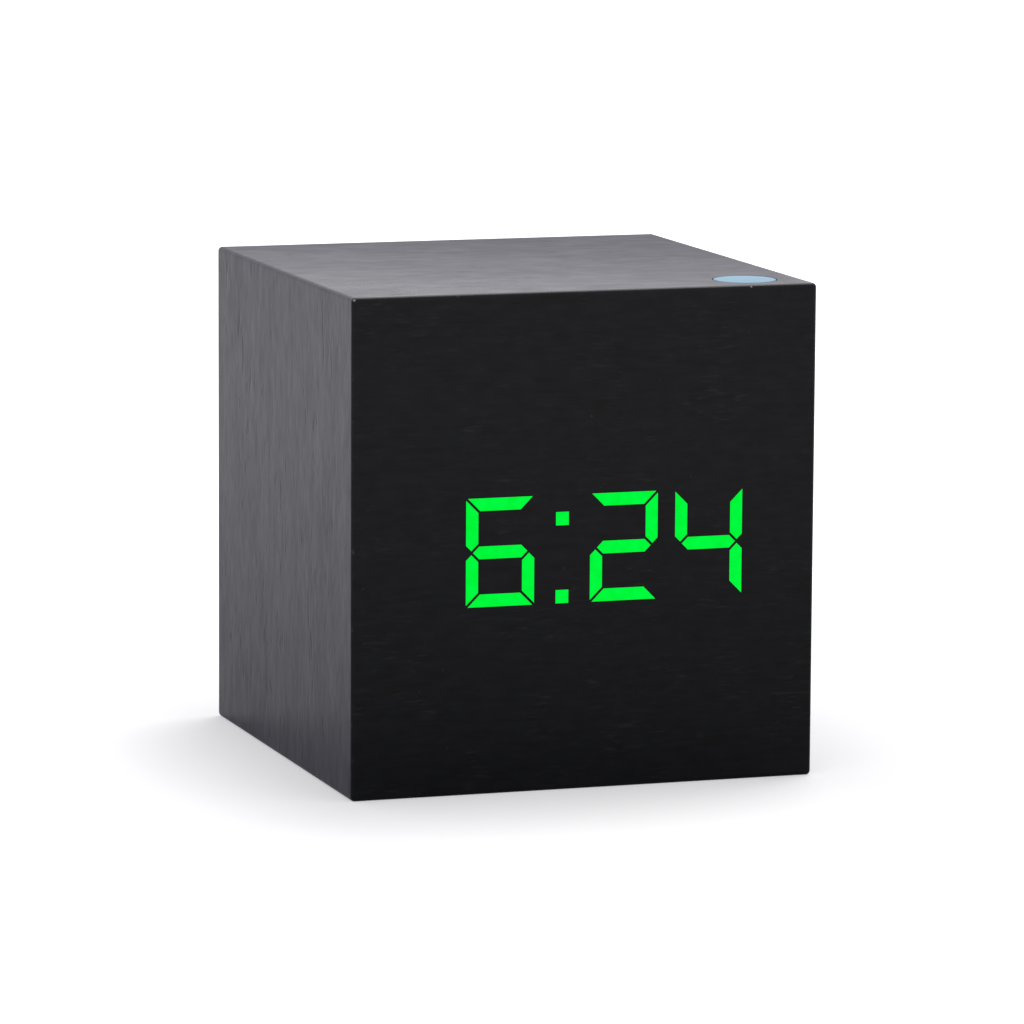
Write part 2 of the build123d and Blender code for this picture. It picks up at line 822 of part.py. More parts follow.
# Blocks glued in the corners of the case, which the rear screws bite into
block_centre_x = inner_half_width - corner_block_side / 2
block_low_z = inner_bottom_z + corner_block_side / 2
block_high_z = inner_top_z - corner_block_side / 2
rear_screw_places = [
    (side * block_centre_x, z) for side in (-1, 1) for z in (block_low_z, block_high_z)
]
with BuildPart() as corner_blocks:
    with BuildSketch(facing_front(cover_inner_y)):
        with Locations(*rear_screw_places):
            Rectangle(corner_block_side, corner_block_side)
            Circle(rear_screw_diameter / 2 + thread_clearance, mode=Mode.SUBTRACT)
    extrude(amount=corner_block_length)
corner_blocks.part.label = "corner_blocks"
export_step(corner_blocks.part, "parts/corner_blocks.step")

# Rear cover with its door opening, key holes, socket hole, sound holes and two board posts
with BuildPart() as rear_cover:
    with BuildSketch(facing_front(cover_outer_y)):
        with Locations((0, case_height / 2)):
            Rectangle(
                2 * (inner_half_width - panel_clearance),
                inner_top_z - inner_bottom_z - 2 * panel_clearance,
            )
        with Locations((0, (opening_bottom_z + opening_top_z) / 2)):
            Rectangle(opening_width, opening_top_z - opening_bottom_z, mode=Mode.SUBTRACT)
        with Locations(*[(x, key_row_z) for x in key_places_x]):
            Circle(key_diameter / 2 + panel_clearance, mode=Mode.SUBTRACT)
        with Locations((socket_x, key_row_z)):
            Circle(socket_barrel_diameter / 2 + slide_clearance, mode=Mode.SUBTRACT)
        with Locations((0, block_low_z)):
            with GridLocations(sound_hole_pitch, 0, sound_hole_count, 1):
                Circle(sound_hole_diameter / 2, mode=Mode.SUBTRACT)
    extrude(amount=cover_thickness)
    with Locations(*[facing_back(x, cover_outer_y, z) for x, z in rear_screw_places]):
        CounterSinkHole(
            radius=rear_screw_diameter / 2 + slide_clearance,
            counter_sink_radius=rear_screw_head_diameter / 2 + slide_clearance,
            depth=cover_thickness + cut_overrun,
            counter_sink_angle=countersink_angle,
        )
    with BuildSketch(facing_front(cover_inner_y)):
        with Locations(*key_post_places):
            Circle(post_diameter / 2)
    extrude(amount=cover_inner_y - key_board_back_y)
    with BuildSketch(facing_front(key_board_back_y)):
        with Locations(*key_post_places):
            Circle(key_screw_diameter / 2 + thread_clearance)
    extrude(amount=-key_screw_length, mode=Mode.SUBTRACT)
rear_cover.part.label = "rear_cover"
export_step(rear_cover.part, "parts/rear_cover.step")

rear_screw_head_height = (rear_screw_head_diameter - rear_screw_diameter) / 2
rear_screw = make_screw(
    rear_screw_diameter,
    rear_screw_length,
    rear_screw_head_diameter,
    rear_screw_head_height,
    countersunk=True,
)
with BuildPart() as rear_screws:
    with Locations(*[facing_back(x, cover_outer_y, z) for x, z in rear_screw_places]):
        add(rear_screw)
rear_screws.part.label = "rear_screws"
export_step(rear_screws.part, "parts/rear_screws.step")

# Battery box behind the cover: a tray open to the rear, with cradle ribs between the cells
tag_slot_width = contact_tag_width + 2 * contact_slot_clearance
tag_slot_thickness = contact_thickness + contact_slot_clearance
tag_places = [(1, row_places[0]), (-1, row_places[-1])]
with BuildPart() as battery_box:
    with BuildSketch(facing_front(cover_inner_y)):
        with Locations((0, box_centre_z)):
            Rectangle(box_width, box_height)
    extrude(amount=box_depth)
    with BuildSketch(facing_front(cover_inner_y)):
        with Locations((0, box_centre_z)):
            Rectangle(box_inner_width, box_inner_height)
    extrude(amount=box_depth - box_floor, mode=Mode.SUBTRACT)
    with BuildSketch(facing_front(box_floor_y)):
        with Locations((0, box_centre_z)):
            with GridLocations(0, row_pitch, 1, cell_count - 1):
                Rectangle(cell_length / 2, cradle_rib_width)
    extrude(amount=-cradle_rib_height)
    with BuildSketch(facing_front(cover_inner_y)):
        with Locations((0, box_centre_z)):
            with GridLocations(box_width + box_flange_reach, 0, 2, 1):
                Rectangle(box_flange_reach, box_height)
    extrude(amount=box_flange_thickness)
    with BuildSketch(facing_front(box_floor_y)):
        for side, z in tag_places:
            with Locations((side * (box_inner_width - tag_slot_thickness) / 2, z)):
                Rectangle(tag_slot_thickness, tag_slot_width)
    extrude(amount=box_floor, mode=Mode.SUBTRACT)
battery_box.part.label = "battery_box"
export_step(battery_box.part, "parts/battery_box.step")

with BuildPart() as single_cell:
    with BuildSketch(Plane.YZ.offset(-(cell_length - cell_nub_length) / 2)):
        Circle(cell_diameter / 2)
    extrude(amount=cell_length - cell_nub_length)
    fillet(single_cell.edges(), cell_edge_radius)
    with BuildSketch(Plane.YZ.offset((cell_length - cell_nub_length) / 2)):
        Circle(cell_nub_diameter / 2)
    extrude(amount=cell_nub_length)

cell_offset_x = contact_face_x - seat_gap - cell_nub_length - (cell_length - cell_nub_length) / 2
with BuildPart() as battery_cells:
    for plus_side, z in zip(plus_sides, row_places):
        cell_plane = Plane(
            origin=(plus_side * cell_offset_x, cell_y, z), x_dir=(plus_side, 0, 0), z_dir=(0, 0, 1)
        )
        with Locations(cell_plane):
            add(single_cell.part)
battery_cells.part.label = "battery_cells"
export_step(battery_cells.part, "parts/battery_cells.step")

# Contact plates join the cells in one string: a bridge over two rows and a single plate each side
bridge_height = row_pitch + contact_width
contact_sets = [
    (1, row_places[0], contact_width),
    (1, (row_places[1] + row_places[2]) / 2, bridge_height),
    (-1, (row_places[0] + row_places[1]) / 2, bridge_height),
    (-1, row_places[2], contact_width),
]
with BuildPart() as contact_plates:
    for side, z, height in contact_sets:
        plate_x = side * (box_inner_width - contact_thickness) / 2
        with BuildSketch(facing_front(cell_y + contact_width / 2)):
            with Locations((plate_x, z)):
                Rectangle(contact_thickness, height)
        extrude(amount=cell_y + contact_width / 2 - box_floor_y)
    for side, z in tag_places:
        plate_x = side * (box_inner_width - contact_thickness) / 2
        with BuildSketch(facing_front(box_floor_y)):
            with Locations((plate_x, z)):
                Rectangle(contact_thickness, contact_tag_width)
        extrude(amount=box_floor + contact_tag_reach)
contact_plates.part.label = "contact_plates"
export_step(contact_plates.part, "parts/contact_plates.step")


def biarc(start, start_tangent, end, end_tangent):
    """Two arcs in the open line, from one point and direction to another."""
    chord = end - start
    lean = chord.dot(start_tangent + end_tangent)
    spread = 1 - start_tangent.dot(end_tangent)
    reach = (sqrt(lean**2 + 2 * spread * chord.dot(chord)) - lean) / (2 * spread)
    first_corner = start + start_tangent * reach
    second_corner = end - end_tangent * reach
    middle = (first_corner + second_corner) / 2
    TangentArc(start, middle, tangent=start_tangent)
    TangentArc(middle, end, tangent=second_corner - first_corner)


# Contact spring: a helix of quarter turns that bends into a short straight end at each side
spring_bends = spring_wire_diameter + spring_bend_radius
spring_pitch = (spring_length - 2 * spring_bends) / spring_turns
helix_length = sqrt((2 * pi * spring_coil_radius) ** 2 + spring_pitch**2)
helix_rise = spring_pitch / helix_length
helix_run = 2 * pi * spring_coil_radius / helix_length
bend_run = spring_bend_radius * (1 - helix_rise)
bend_rise = spring_bend_radius * helix_run
helix_start_z = spring_wire_diameter + bend_rise
helix_turns = (spring_length - 2 * helix_start_z) / spring_pitch
quarter_count = ceil(4 * helix_turns)


def helix_point(share):
    """Place and direction on the spring's helix, at a share of its whole length."""
    angle = 2 * pi * helix_turns * share
    place = Vector(
        spring_coil_radius * cos(angle),
        spring_coil_radius * sin(angle),
        helix_start_z + helix_turns * spring_pitch * share,
    )
    direction = Vector(-helix_run * sin(angle), helix_run * cos(angle), helix_rise)
    return place, direction


up = Vector(0, 0, 1)
first_place, first_direction = helix_point(0)
last_place, last_direction = helix_point(1)
first_level = Vector(first_direction.X, first_direction.Y, 0).normalized()
last_level = Vector(last_direction.X, last_direction.Y, 0).normalized()
bend_start = first_place - first_level * bend_run - up * bend_rise
bend_end = last_place + last_level * bend_run + up * bend_rise
with BuildPart() as contact_spring:
    with BuildLine() as spring_line:
        Line(bend_start - up * spring_wire_diameter, bend_start)
        TangentArc(bend_start, first_place, tangent=up)
        for i in range(quarter_count):
            start, start_direction = helix_point(i / quarter_count)
            end, end_direction = helix_point((i + 1) / quarter_count)
            biarc(start, start_direction, end, end_direction)
        TangentArc(last_place, bend_end, tangent=last_direction)
        Line(bend_end, bend_end + up * spring_wire_diameter)
    with BuildSketch(Plane(origin=bend_start - up * spring_wire_diameter, z_dir=up)):
        Circle(spring_wire_diameter / 2)
    sweep(path=spring_line.wire())

# The least gap is measured between points on the wire that lie more than half a turn apart.
spring_wire = spring_line.wire()
spring_samples = 240
spring_points = [spring_wire @ (i / spring_samples) for i in range(spring_samples + 1)]
half_turn_samples = ceil(spring_samples / helix_turns / 2)
least_gap = min(
    (spring_points[j] - spring_points[i]).length - spring_wire_diameter
    for i in range(spring_samples + 1)
    for j in range(i + half_turn_samples, spring_samples + 1)
)
wire_volume = pi * spring_wire_diameter**2 / 4 * spring_wire.length
print(f"contact spring: least gap {least_gap:.2f} mm, volume {contact_spring.part.volume:.3f}")
print(f"contact spring: section times length {wire_volume:.3f}")

with BuildPart() as battery_springs:
    for plus_side, z in zip(plus_sides, row_places):
        spring_base = Plane(
            origin=(-plus_side * contact_face_x, cell_y, z), z_dir=(plus_side, 0, 0)
        )
        with Locations(spring_base):
            add(contact_spring.part)
battery_springs.part.label = "battery_springs"
export_step(battery_springs.part, "parts/battery_springs.step")

# Battery door: a flush panel with two tabs behind the lower lip and a notch for the latch
latch_leg_z = door_top_z - latch_top_drop - latch_thickness / 2
latch_root_z = latch_leg_z - 2 * latch_bend_radius - latch_thickness
latch_pad_bottom_z = latch_leg_z + latch_thickness / 2 - latch_pad_height
notch_bottom_z = latch_pad_bottom_z - latch_side_gap
with BuildPart() as battery_door:
    with BuildSketch(facing_front(cover_outer_y)):
        with Locations((0, door_centre_z)):
            RectangleRounded(door_width, door_height, door_corner_radius)
        with Locations((0, (notch_bottom_z + door_top_z + cut_overrun) / 2)):
            Rectangle(
                latch_width + 2 * latch_side_gap,
                door_top_z + cut_overrun - notch_bottom_z,
                mode=Mode.SUBTRACT,
            )
    extrude(amount=door_thickness)
    with BuildSketch(facing_front(cover_outer_y)):
        with Locations((0, notch_bottom_z - grip_drop)):
            with GridLocations(0, grip_groove_pitch, 1, grip_groove_count):
                SlotOverall(grip_groove_length, grip_groove_width)
    extrude(amount=grip_groove_depth, mode=Mode.SUBTRACT)
    tab_outer_y = cover_inner_y - seat_gap
    tab_inner_y = tab_outer_y - door_tab_thickness
    with BuildSketch(facing_front(door_inner_y)):
        with Locations((0, door_bottom_z + door_tab_root / 2)):
            with GridLocations(door_tab_spacing, 0, 2, 1):
                Rectangle(door_tab_width, door_tab_root)
    extrude(amount=door_inner_y - tab_inner_y)
    with BuildSketch(facing_front(tab_outer_y)):
        with Locations((0, door_bottom_z + (door_tab_root - door_tab_drop) / 2)):
            with GridLocations(door_tab_spacing, 0, 2, 1):
                Rectangle(door_tab_width, door_tab_root + door_tab_drop)
    extrude(amount=door_tab_thickness)
battery_door.part.label = "battery_door"
export_step(battery_door.part, "parts/battery_door.step")

# Latch: a springy U whose hook catches behind the upper lip, with a pad to press it down
latch_bend_y = door_inner_y - latch_leg_length
latch_hook_y = cover_inner_y - seat_gap
latch_leg_top_z = latch_leg_z + latch_thickness / 2
with BuildPart() as door_latch:
    with BuildSketch(Plane.YZ.offset(-latch_width / 2)):
        with BuildLine():
            Polyline(
                (door_inner_y, latch_root_z - latch_thickness / 2),
                (latch_bend_y, latch_root_z - latch_thickness / 2),
            )
            TangentArc(
                (latch_bend_y, latch_root_z - latch_thickness / 2),
                (latch_bend_y, latch_leg_top_z),
                tangent=(-1, 0),
            )
            Polyline(
                (latch_bend_y, latch_leg_top_z),
                (latch_hook_y - latch_hook_length, latch_leg_top_z),
                (latch_hook_y, latch_leg_top_z + latch_hook_height),
                (latch_hook_y, latch_leg_top_z),
                (cover_outer_y, latch_leg_top_z),
                (cover_outer_y, latch_pad_bottom_z),
                (cover_outer_y - latch_pad_depth, latch_pad_bottom_z),
                (cover_outer_y - latch_pad_depth, latch_leg_z - latch_thickness / 2),
                (latch_bend_y, latch_leg_z - latch_thickness / 2),
            )
            TangentArc(
                (latch_bend_y, latch_leg_z - latch_thickness / 2),
                (latch_bend_y, latch_root_z + latch_thickness / 2),
                tangent=(-1, 0),
            )
            Polyline(
                (latch_bend_y, latch_root_z + latch_thickness / 2),
                (door_inner_y, latch_root_z + latch_thickness / 2),
                (door_inner_y, latch_root_z - latch_thickness / 2),
            )
        make_face()
    extrude(amount=latch_width)
door_latch.part.label = "door_latch"
export_step(door_latch.part, "parts/door_latch.step")

# Keys of the rear cover, each with its switch plunger
for name, x in zip(key_names, key_places_x):
    with BuildPart() as key:
        with BuildSketch(facing_back(x, key_flange_y - key_flange_thickness, key_row_z)):
            Circle(key_flange_diameter / 2)
        extrude(amount=key_flange_thickness)
        with BuildSketch(facing_back(x, key_flange_y, key_row_z)):
            Circle(key_diameter / 2)
        extrude(amount=cover_outer_y + key_stand_out - key_flange_y)
        with BuildSketch(facing_back(x, key_boss_y, key_row_z)):
            Circle(key_plunger_diameter / 2)
        extrude(amount=key_boss_length)
        fillet(key.edges().group_by(Axis.Y)[-1], key_edge_radius)
    key.part.label = f"{name}_key"
    export_step(key.part, f"parts/{name}_key.step")

    with BuildPart() as plunger:
        with BuildSketch(facing_front(key_boss_y)):
            with Locations((x, key_row_z)):
                Circle(key_plunger_diameter / 2)
        extrude(amount=key_plunger_length)
    plunger.part.label = f"{name}_plunger"
    export_step(plunger.part, f"parts/{name}_plunger.step")

key_well_depth = key_plunger_length - key_plunger_stand_out + press_travel + seat_gap
with BuildPart() as key_switches:
    with BuildSketch(facing_front(key_switch_y)):
        with Locations(*[(x, key_row_z) for x in key_places_x]):
            Rectangle(key_switch_side, key_switch_side)
    extrude(amount=key_switch_height)
    with BuildSketch(facing_front(key_switch_y)):
        with Locations(*[(x, key_row_z) for x in key_places_x]):
            Circle(key_plunger_diameter / 2 + plunger_side_clearance)
    extrude(amount=key_well_depth, mode=Mode.SUBTRACT)
key_switches.part.label = "key_switches"
export_step(key_switches.part, "parts/key_switches.step")

key_board_centre_z = inner_top_z - snooze_board_side_gap - key_board_height / 2
with BuildPart() as key_board:
    with BuildSketch(facing_front(key_board_back_y)):
        with Locations(((key_board_left_x + key_board_right_x) / 2, key_board_centre_z)):
            Rectangle(key_board_right_x - key_board_left_x, key_board_height)
        with Locations(*key_post_places):
            Circle(key_screw_diameter / 2 + slide_clearance, mode=Mode.SUBTRACT)
    extrude(amount=key_board_thickness)
key_board.part.label = "key_board"
export_step(key_board.part, "parts/key_board.step")

key_screw = make_screw(
    key_screw_diameter, key_screw_length, key_screw_head_diameter, key_screw_head_height
)
with BuildPart() as key_board_screws:
    for x, z in key_post_places:
        with Locations(Plane(origin=(x, key_board_front_y, z), z_dir=(0, -1, 0))):
            add(key_screw)
key_board_screws.part.label = "key_board_screws"
export_step(key_board_screws.part, "parts/key_board_screws.step")

# Power socket: a flanged barrel through the cover, with a centre pin, two tags and a nut
with BuildPart() as power_socket:
    with BuildSketch(facing_back(socket_x, cover_outer_y, key_row_z)):
        Circle(socket_flange_diameter / 2)
    extrude(amount=socket_flange_thickness)
    fillet(power_socket.edges().group_by(Axis.Y)[-1], socket_flange_thickness / 4)
    with BuildSketch(facing_back(socket_x, socket_end_y, key_row_z)):
        Circle(socket_barrel_diameter / 2)
    extrude(amount=socket_barrel_length)
    with BuildSketch(facing_back(socket_x, cover_outer_y + socket_flange_thickness, key_row_z)):
        Circle(socket_bore_diameter / 2)
    extrude(amount=-socket_bore_depth, mode=Mode.SUBTRACT)
    with BuildSketch(facing_back(socket_x, socket_end_y, key_row_z)):
        Circle(socket_pin_diameter / 2)
    extrude(amount=socket_barrel_length, mode=Mode.SUBTRACT)
power_socket.part.label = "power_socket"
export_step(power_socket.part, "parts/power_socket.step")

socket_tag_end_y = socket_end_y - socket_tag_reach
with BuildPart() as socket_contacts:
    with BuildSketch(facing_back(socket_x, socket_tag_end_y, key_row_z)):
        Circle(socket_pin_diameter / 2)
    extrude(
        amount=cover_outer_y + socket_flange_thickness - socket_pin_recess - socket_tag_end_y
    )
    fillet(socket_contacts.edges().group_by(Axis.Y)[-1], socket_pin_diameter / 4)
    with BuildSketch(facing_back(socket_x, socket_tag_end_y, key_row_z + socket_tag_offset)):
        Rectangle(socket_tag_width, socket_tag_thickness)
    extrude(amount=socket_tag_reach)
socket_contacts.part.label = "socket_contacts"
export_step(socket_contacts.part, "parts/socket_contacts.step")

with BuildPart() as socket_nut:
    with BuildSketch(facing_back(socket_x, cover_inner_y, key_row_z)):
        RegularPolygon(nut_across_flats / 2, 6, major_radius=False, rotation=30)
        Circle(socket_barrel_diameter / 2 + thread_clearance, mode=Mode.SUBTRACT)
    extrude(amount=-nut_thickness)
socket_nut.part.label = "socket_nut"
export_step(socket_nut.part, "parts/socket_nut.step")


def lead_route(start, start_exit, end, end_exit, sag):
    """Five points of a soldered lead: straight out at both ends and slack in the middle."""
    start = Vector(*start)
    end = Vector(*end)
    after = start + Vector(*start_exit)
    before = end + Vector(*end_exit)
    return [start, after, (after + before) / 2 - Vector(0, 0, sag), before, end]


def add_lead(points, diameter, bend_radius):
    """Sweep one round lead along rounded straight runs in the open part."""
    with BuildLine() as route:
        FilletPolyline(*points, radius=bend_radius)
    route_wire = route.wire()
    with BuildSketch(Plane(origin=route_wire @ 0, z_dir=route_wire % 0)) as section:
        Circle(diameter / 2)
    sweep(section.sketch, path=route_wire)


tag_end_y = box_front_y - contact_tag_reach
battery_pad_z = display_centre_z + battery_pad_share * display_board_height / 2
battery_leads = {"battery_lead_red": tag_places[0], "battery_lead_black": tag_places[1]}
for name, (side, tag_z) in battery_leads.items():
    tag_x = side * (box_inner_width - contact_thickness) / 2
    pad_x = side * (display_screw_half_x - display_screw_head_diameter / 2)
    with BuildPart() as battery_lead:
        add_lead(
            lead_route(
                (tag_x, tag_end_y, tag_z),
                (0, -lead_exit, 0),
                (pad_x, board_back_y, battery_pad_z),
                (0, lead_exit, 0),
                lead_sag,
            ),
            lead_diameter,
            lead_bend_radius,
        )
    battery_lead.part.label = name
    export_step(battery_lead.part, f"parts/{name}.step")

socket_pad_z = display_centre_z + display_board_height / 2 - lead_exit
with BuildPart() as socket_leads:
    for i, tag_z in enumerate((key_row_z, key_row_z + socket_tag_offset)):
        add_lead(
            lead_route(
                (socket_x, socket_tag_end_y, tag_z),
                (0, -lead_exit, 0),
                (socket_x - i * lead_spacing, board_back_y, socket_pad_z),
                (0, lead_exit, 0),
                lead_sag / 2,
            ),
            lead_diameter,
            lead_bend_radius,
        )
socket_leads.part.label = "socket_leads"
export_step(socket_leads.part, "parts/socket_leads.step")

snooze_pad_x = bracket_wall_x + snooze_lead_spacing
snooze_pad_y = bracket_front_y + snooze_board_depth - snooze_lead_spacing
snooze_turn_y = board_back_y + snooze_lead_exit
snooze_over_z = snooze_board_top_z + snooze_lead_rise
with BuildPart() as snooze_leads:
    for i in range(2):
        lead_x = snooze_pad_x + i * snooze_lead_spacing
        add_lead(
            [
                (lead_x, board_back_y, socket_pad_z),
                (lead_x, snooze_turn_y, socket_pad_z),
                (lead_x, snooze_turn_y, snooze_over_z),
                (lead_x, snooze_pad_y, snooze_over_z),
                (lead_x, snooze_pad_y, snooze_board_top_z),
            ],
            snooze_lead_diameter,
            snooze_lead_bend_radius,
        )
snooze_leads.part.label = "snooze_leads"
export_step(snooze_leads.part, "parts/snooze_leads.step")

# Flat cable from the key board to the display board, with a header at each end
ribbon_x = header_share * display_board_width / 2
lower_header_z = display_centre_z + display_board_height / 2 - header_height
upper_header_z = key_row_z + header_height / 2
upper_header_y = key_board_front_y - header_depth
lower_header_y = board_back_y + header_depth
with BuildPart() as ribbon_headers:
    with BuildSketch(facing_front(key_board_front_y)):
        with Locations((ribbon_x, upper_header_z)):
            Rectangle(header_width, header_height)
    extrude(amount=header_depth)
    with BuildSketch(facing_front(lower_header_y)):
        with Locations((ribbon_x, lower_header_z)):
            Rectangle(header_width, header_height)
    extrude(amount=header_depth)
ribbon_headers.part.label = "ribbon_headers"
export_step(ribbon_headers.part, "parts/ribbon_headers.step")

with BuildPart() as ribbon_cable:
    with BuildLine() as ribbon_line:
        FilletPolyline(
            (ribbon_x, upper_header_y, upper_header_z),
            (ribbon_x, upper_header_y - ribbon_exit, upper_header_z),
            (ribbon_x, lower_header_y + ribbon_exit, lower_header_z),
            (ribbon_x, lower_header_y, lower_header_z),
            radius=ribbon_bend_radius,
        )
    with BuildSketch(facing_front(upper_header_y)):
        with Locations((ribbon_x, upper_header_z)):
            Rectangle(ribbon_width, ribbon_thickness)
    sweep(path=ribbon_line.wire())
ribbon_cable.part.label = "ribbon_cable"
export_step(ribbon_cable.part, "parts/ribbon_cable.step")
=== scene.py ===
import math

import bpy
from mathutils import Matrix, Vector


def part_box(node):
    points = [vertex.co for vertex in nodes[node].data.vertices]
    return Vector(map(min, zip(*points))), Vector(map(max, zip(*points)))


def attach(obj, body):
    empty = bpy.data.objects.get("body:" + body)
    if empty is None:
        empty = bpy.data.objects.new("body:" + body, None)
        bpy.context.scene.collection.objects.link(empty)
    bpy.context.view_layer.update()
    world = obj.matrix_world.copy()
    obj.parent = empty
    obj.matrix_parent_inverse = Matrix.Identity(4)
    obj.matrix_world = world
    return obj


# A cube-shaped desk clock in black laminate, with green digits glowing through its front film, on a
# white floor. Metres, +Z up, in the frame of the CAD model: the display faces -Y.

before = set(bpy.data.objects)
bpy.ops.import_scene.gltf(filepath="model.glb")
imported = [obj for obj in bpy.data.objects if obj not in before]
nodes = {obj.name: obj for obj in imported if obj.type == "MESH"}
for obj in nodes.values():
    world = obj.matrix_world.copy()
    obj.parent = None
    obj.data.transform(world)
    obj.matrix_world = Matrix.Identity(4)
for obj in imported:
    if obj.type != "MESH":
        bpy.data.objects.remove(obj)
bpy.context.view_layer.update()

MM = 0.001
WHITE = (1.0, 1.0, 1.0)
BLACK = (0.0, 0.0, 0.0)
X_AXIS, Z_AXIS = 0, 2

# Faces of the case, from the frame
half_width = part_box("right_board")[1].x
half_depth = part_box("left_board")[1].y
front_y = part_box("front_film")[0].y
case_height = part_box("top_board")[1].z
case_width = 2 * half_width
button_low, button_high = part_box("snooze_button")
button_centre = (button_low + button_high) / 2
button_radius = (button_high.x - button_low.x) / 2

# Camera, fitted to the seven visible corners of the case in the photograph. Distances are in widths
# of the case, from the middle of its underside.
CAMERA_AZIMUTH = -18.4785
CAMERA_ELEVATION = 8.6996
CAMERA_ROLL = 0.3307
CAMERA_SIDE_WIDTHS = 0.0099
CAMERA_UP_WIDTHS = 0.4958
CAMERA_BACK_WIDTHS = 12.9162
FOCAL_PIXELS = 6053.41
IMAGE_PIXELS = 1024
SENSOR_WIDTH = 36.0
CLIP_END = 50.0


def make_camera():
    """Camera at the photograph's place, turn and focal length."""
    azimuth, elevation, roll = (
        math.radians(angle) for angle in (CAMERA_AZIMUTH, CAMERA_ELEVATION, CAMERA_ROLL)
    )
    back = Vector(
        (
            math.sin(azimuth) * math.cos(elevation),
            -math.cos(azimuth) * math.cos(elevation),
            math.sin(elevation),
        )
    )
    level = Vector((0, 0, 1)).cross(back).normalized()
    upright = back.cross(level)
    right = level * math.cos(roll) + upright * math.sin(roll)
    up = upright * math.cos(roll) - level * math.sin(roll)
    place = right * CAMERA_SIDE_WIDTHS + up * CAMERA_UP_WIDTHS + back * CAMERA_BACK_WIDTHS
    data = bpy.data.cameras.new("photo_camera")
    data.sensor_width = SENSOR_WIDTH
    data.lens = FOCAL_PIXELS / IMAGE_PIXELS * SENSOR_WIDTH
    data.clip_end = CLIP_END
    camera = bpy.data.objects.new("photo_camera", data)
    turned = Matrix((right, up, back)).transposed().to_4x4()
    camera.matrix_world = Matrix.Translation(place * case_width) @ turned
    bpy.context.scene.collection.objects.link(camera)
    bpy.context.scene.camera = camera


# Range in which nearly all values of a noise lie
NOISE_RANGE = (0.3, 0.7)

# Sockets of a Mix node that blends colours: its share, its two colours and its result
MIX_SHARE, MIX_FIRST, MIX_SECOND, MIX_RESULT = 0, 6, 7, 2


class Graph:
    """The nodes of one material, with a short call for each kind that the materials share."""

    def __init__(self, name):
        self.material = bpy.data.materials.new(name)
        self.material.use_nodes = True
        self.tree = self.material.node_tree
        self.shader = self.tree.nodes["Principled BSDF"]
        self.place = self.tree.nodes.new("ShaderNodeTexCoord").outputs["Object"]

    def feed(self, socket, value):
        """Link a node's output to a socket, or set the socket to a plain value."""
        if isinstance(value, bpy.types.NodeSocket):
            self.tree.links.new(value, socket)
        elif socket.type == "RGBA":
            socket.default_value = (*value, 1.0)
        else:
            socket.default_value = value

    def set(self, **values):
        """Set or link the shader's own sockets, named with underscores for spaces."""
        for name, value in values.items():
            self.feed(self.shader.inputs[name.replace("_", " ")], value)

    def math(self, operation, *values):
        node = self.tree.nodes.new("ShaderNodeMath")
        node.operation = operation
        for socket, value in zip(node.inputs, values):
            self.feed(socket, value)
        return node.outputs["Value"]

    def vector(self, operation, *values):
        node = self.tree.nodes.new("ShaderNodeVectorMath")
        node.operation = operation
        for socket, value in zip(node.inputs, values):
            self.feed(socket, value)
        return node.outputs["Value" if operation == "DISTANCE" else "Vector"]

    def axes(self):
        """The X, Y and Z of a point on the piece."""
        node = self.tree.nodes.new("ShaderNodeSeparateXYZ")
        self.feed(node.inputs["Vector"], self.place)
        return node.outputs["X"], node.outputs["Y"], node.outputs["Z"]

    def weigh(self, first, second, share):
        """Mean of two values, with a share of the second."""
        kept = self.math("MULTIPLY", first, 1.0 - share)
        return self.math("ADD", kept, self.math("MULTIPLY", second, share))

    def diagonal(self, *sides):
        """Length of the diagonal across two or more sides."""
        squares = [self.math("POWER", side, 2.0) for side in sides]
        total = squares[0]
        for square in squares[1:]:
            total = self.math("ADD", total, square)
        return self.math("SQRT", total)

    def noise(self, size, detail=2.0, roughness=0.5, shift=0.0):
        """Smooth noise whose blobs are about size metres long, or one size for each axis.

        Noises with different shifts don't follow each other.
        """
        sizes = size if isinstance(size, tuple) else (size,) * 3
        stretched = self.vector("DIVIDE", self.place, sizes)
        node = self.tree.nodes.new("ShaderNodeTexNoise")
        self.feed(node.inputs["Vector"], self.vector("ADD", stretched, (shift, shift, shift)))
        node.inputs["Scale"].default_value = 1.0
        node.inputs["Detail"].default_value = detail
        node.inputs["Roughness"].default_value = roughness
        return node.outputs["Fac"]

    def between(self, value, low, high, to_low=0.0, to_high=1.0, smooth=False):
        """Map a value's range low to high onto to_low to to_high, and hold it there outside."""
        node = self.tree.nodes.new("ShaderNodeMapRange")
        node.interpolation_type = "SMOOTHSTEP" if smooth else "LINEAR"
        for socket, item in zip(node.inputs, (value, low, high, to_low, to_high)):
            self.feed(socket, item)
        return node.outputs["Result"]

    def stretch(self, noise, to_low=0.0, to_high=1.0):
        """Map the usual range of a noise onto to_low to to_high."""
        return self.between(noise, *NOISE_RANGE, to_low, to_high)

    def blend(self, share, first, second):
        """Mix two colours, with a share of the second."""
        node = self.tree.nodes.new("ShaderNodeMix")
        node.data_type = "RGBA"
        self.feed(node.inputs[MIX_SHARE], share)
        self.feed(node.inputs[MIX_FIRST], first)
        self.feed(node.inputs[MIX_SECOND], second)
        return node.outputs[MIX_RESULT]

    def bump(self, height, depth, below=None):
        """A bump map whose full height is depth metres, on top of another if one is given."""
        node = self.tree.nodes.new("ShaderNodeBump")
        node.inputs["Distance"].default_value = depth
        self.feed(node.inputs["Height"], height)
        if below is not None:
            self.feed(node.inputs["Normal"], below)
        return node.outputs["Normal"]


def shaded(colour, share):
    """A colour times a share."""
    return tuple(channel * share for channel in colour)


def along(axis, length, across):
    """Noise sizes of streaks that run along one axis."""
    return tuple(length if i == axis else across for i in range(3))


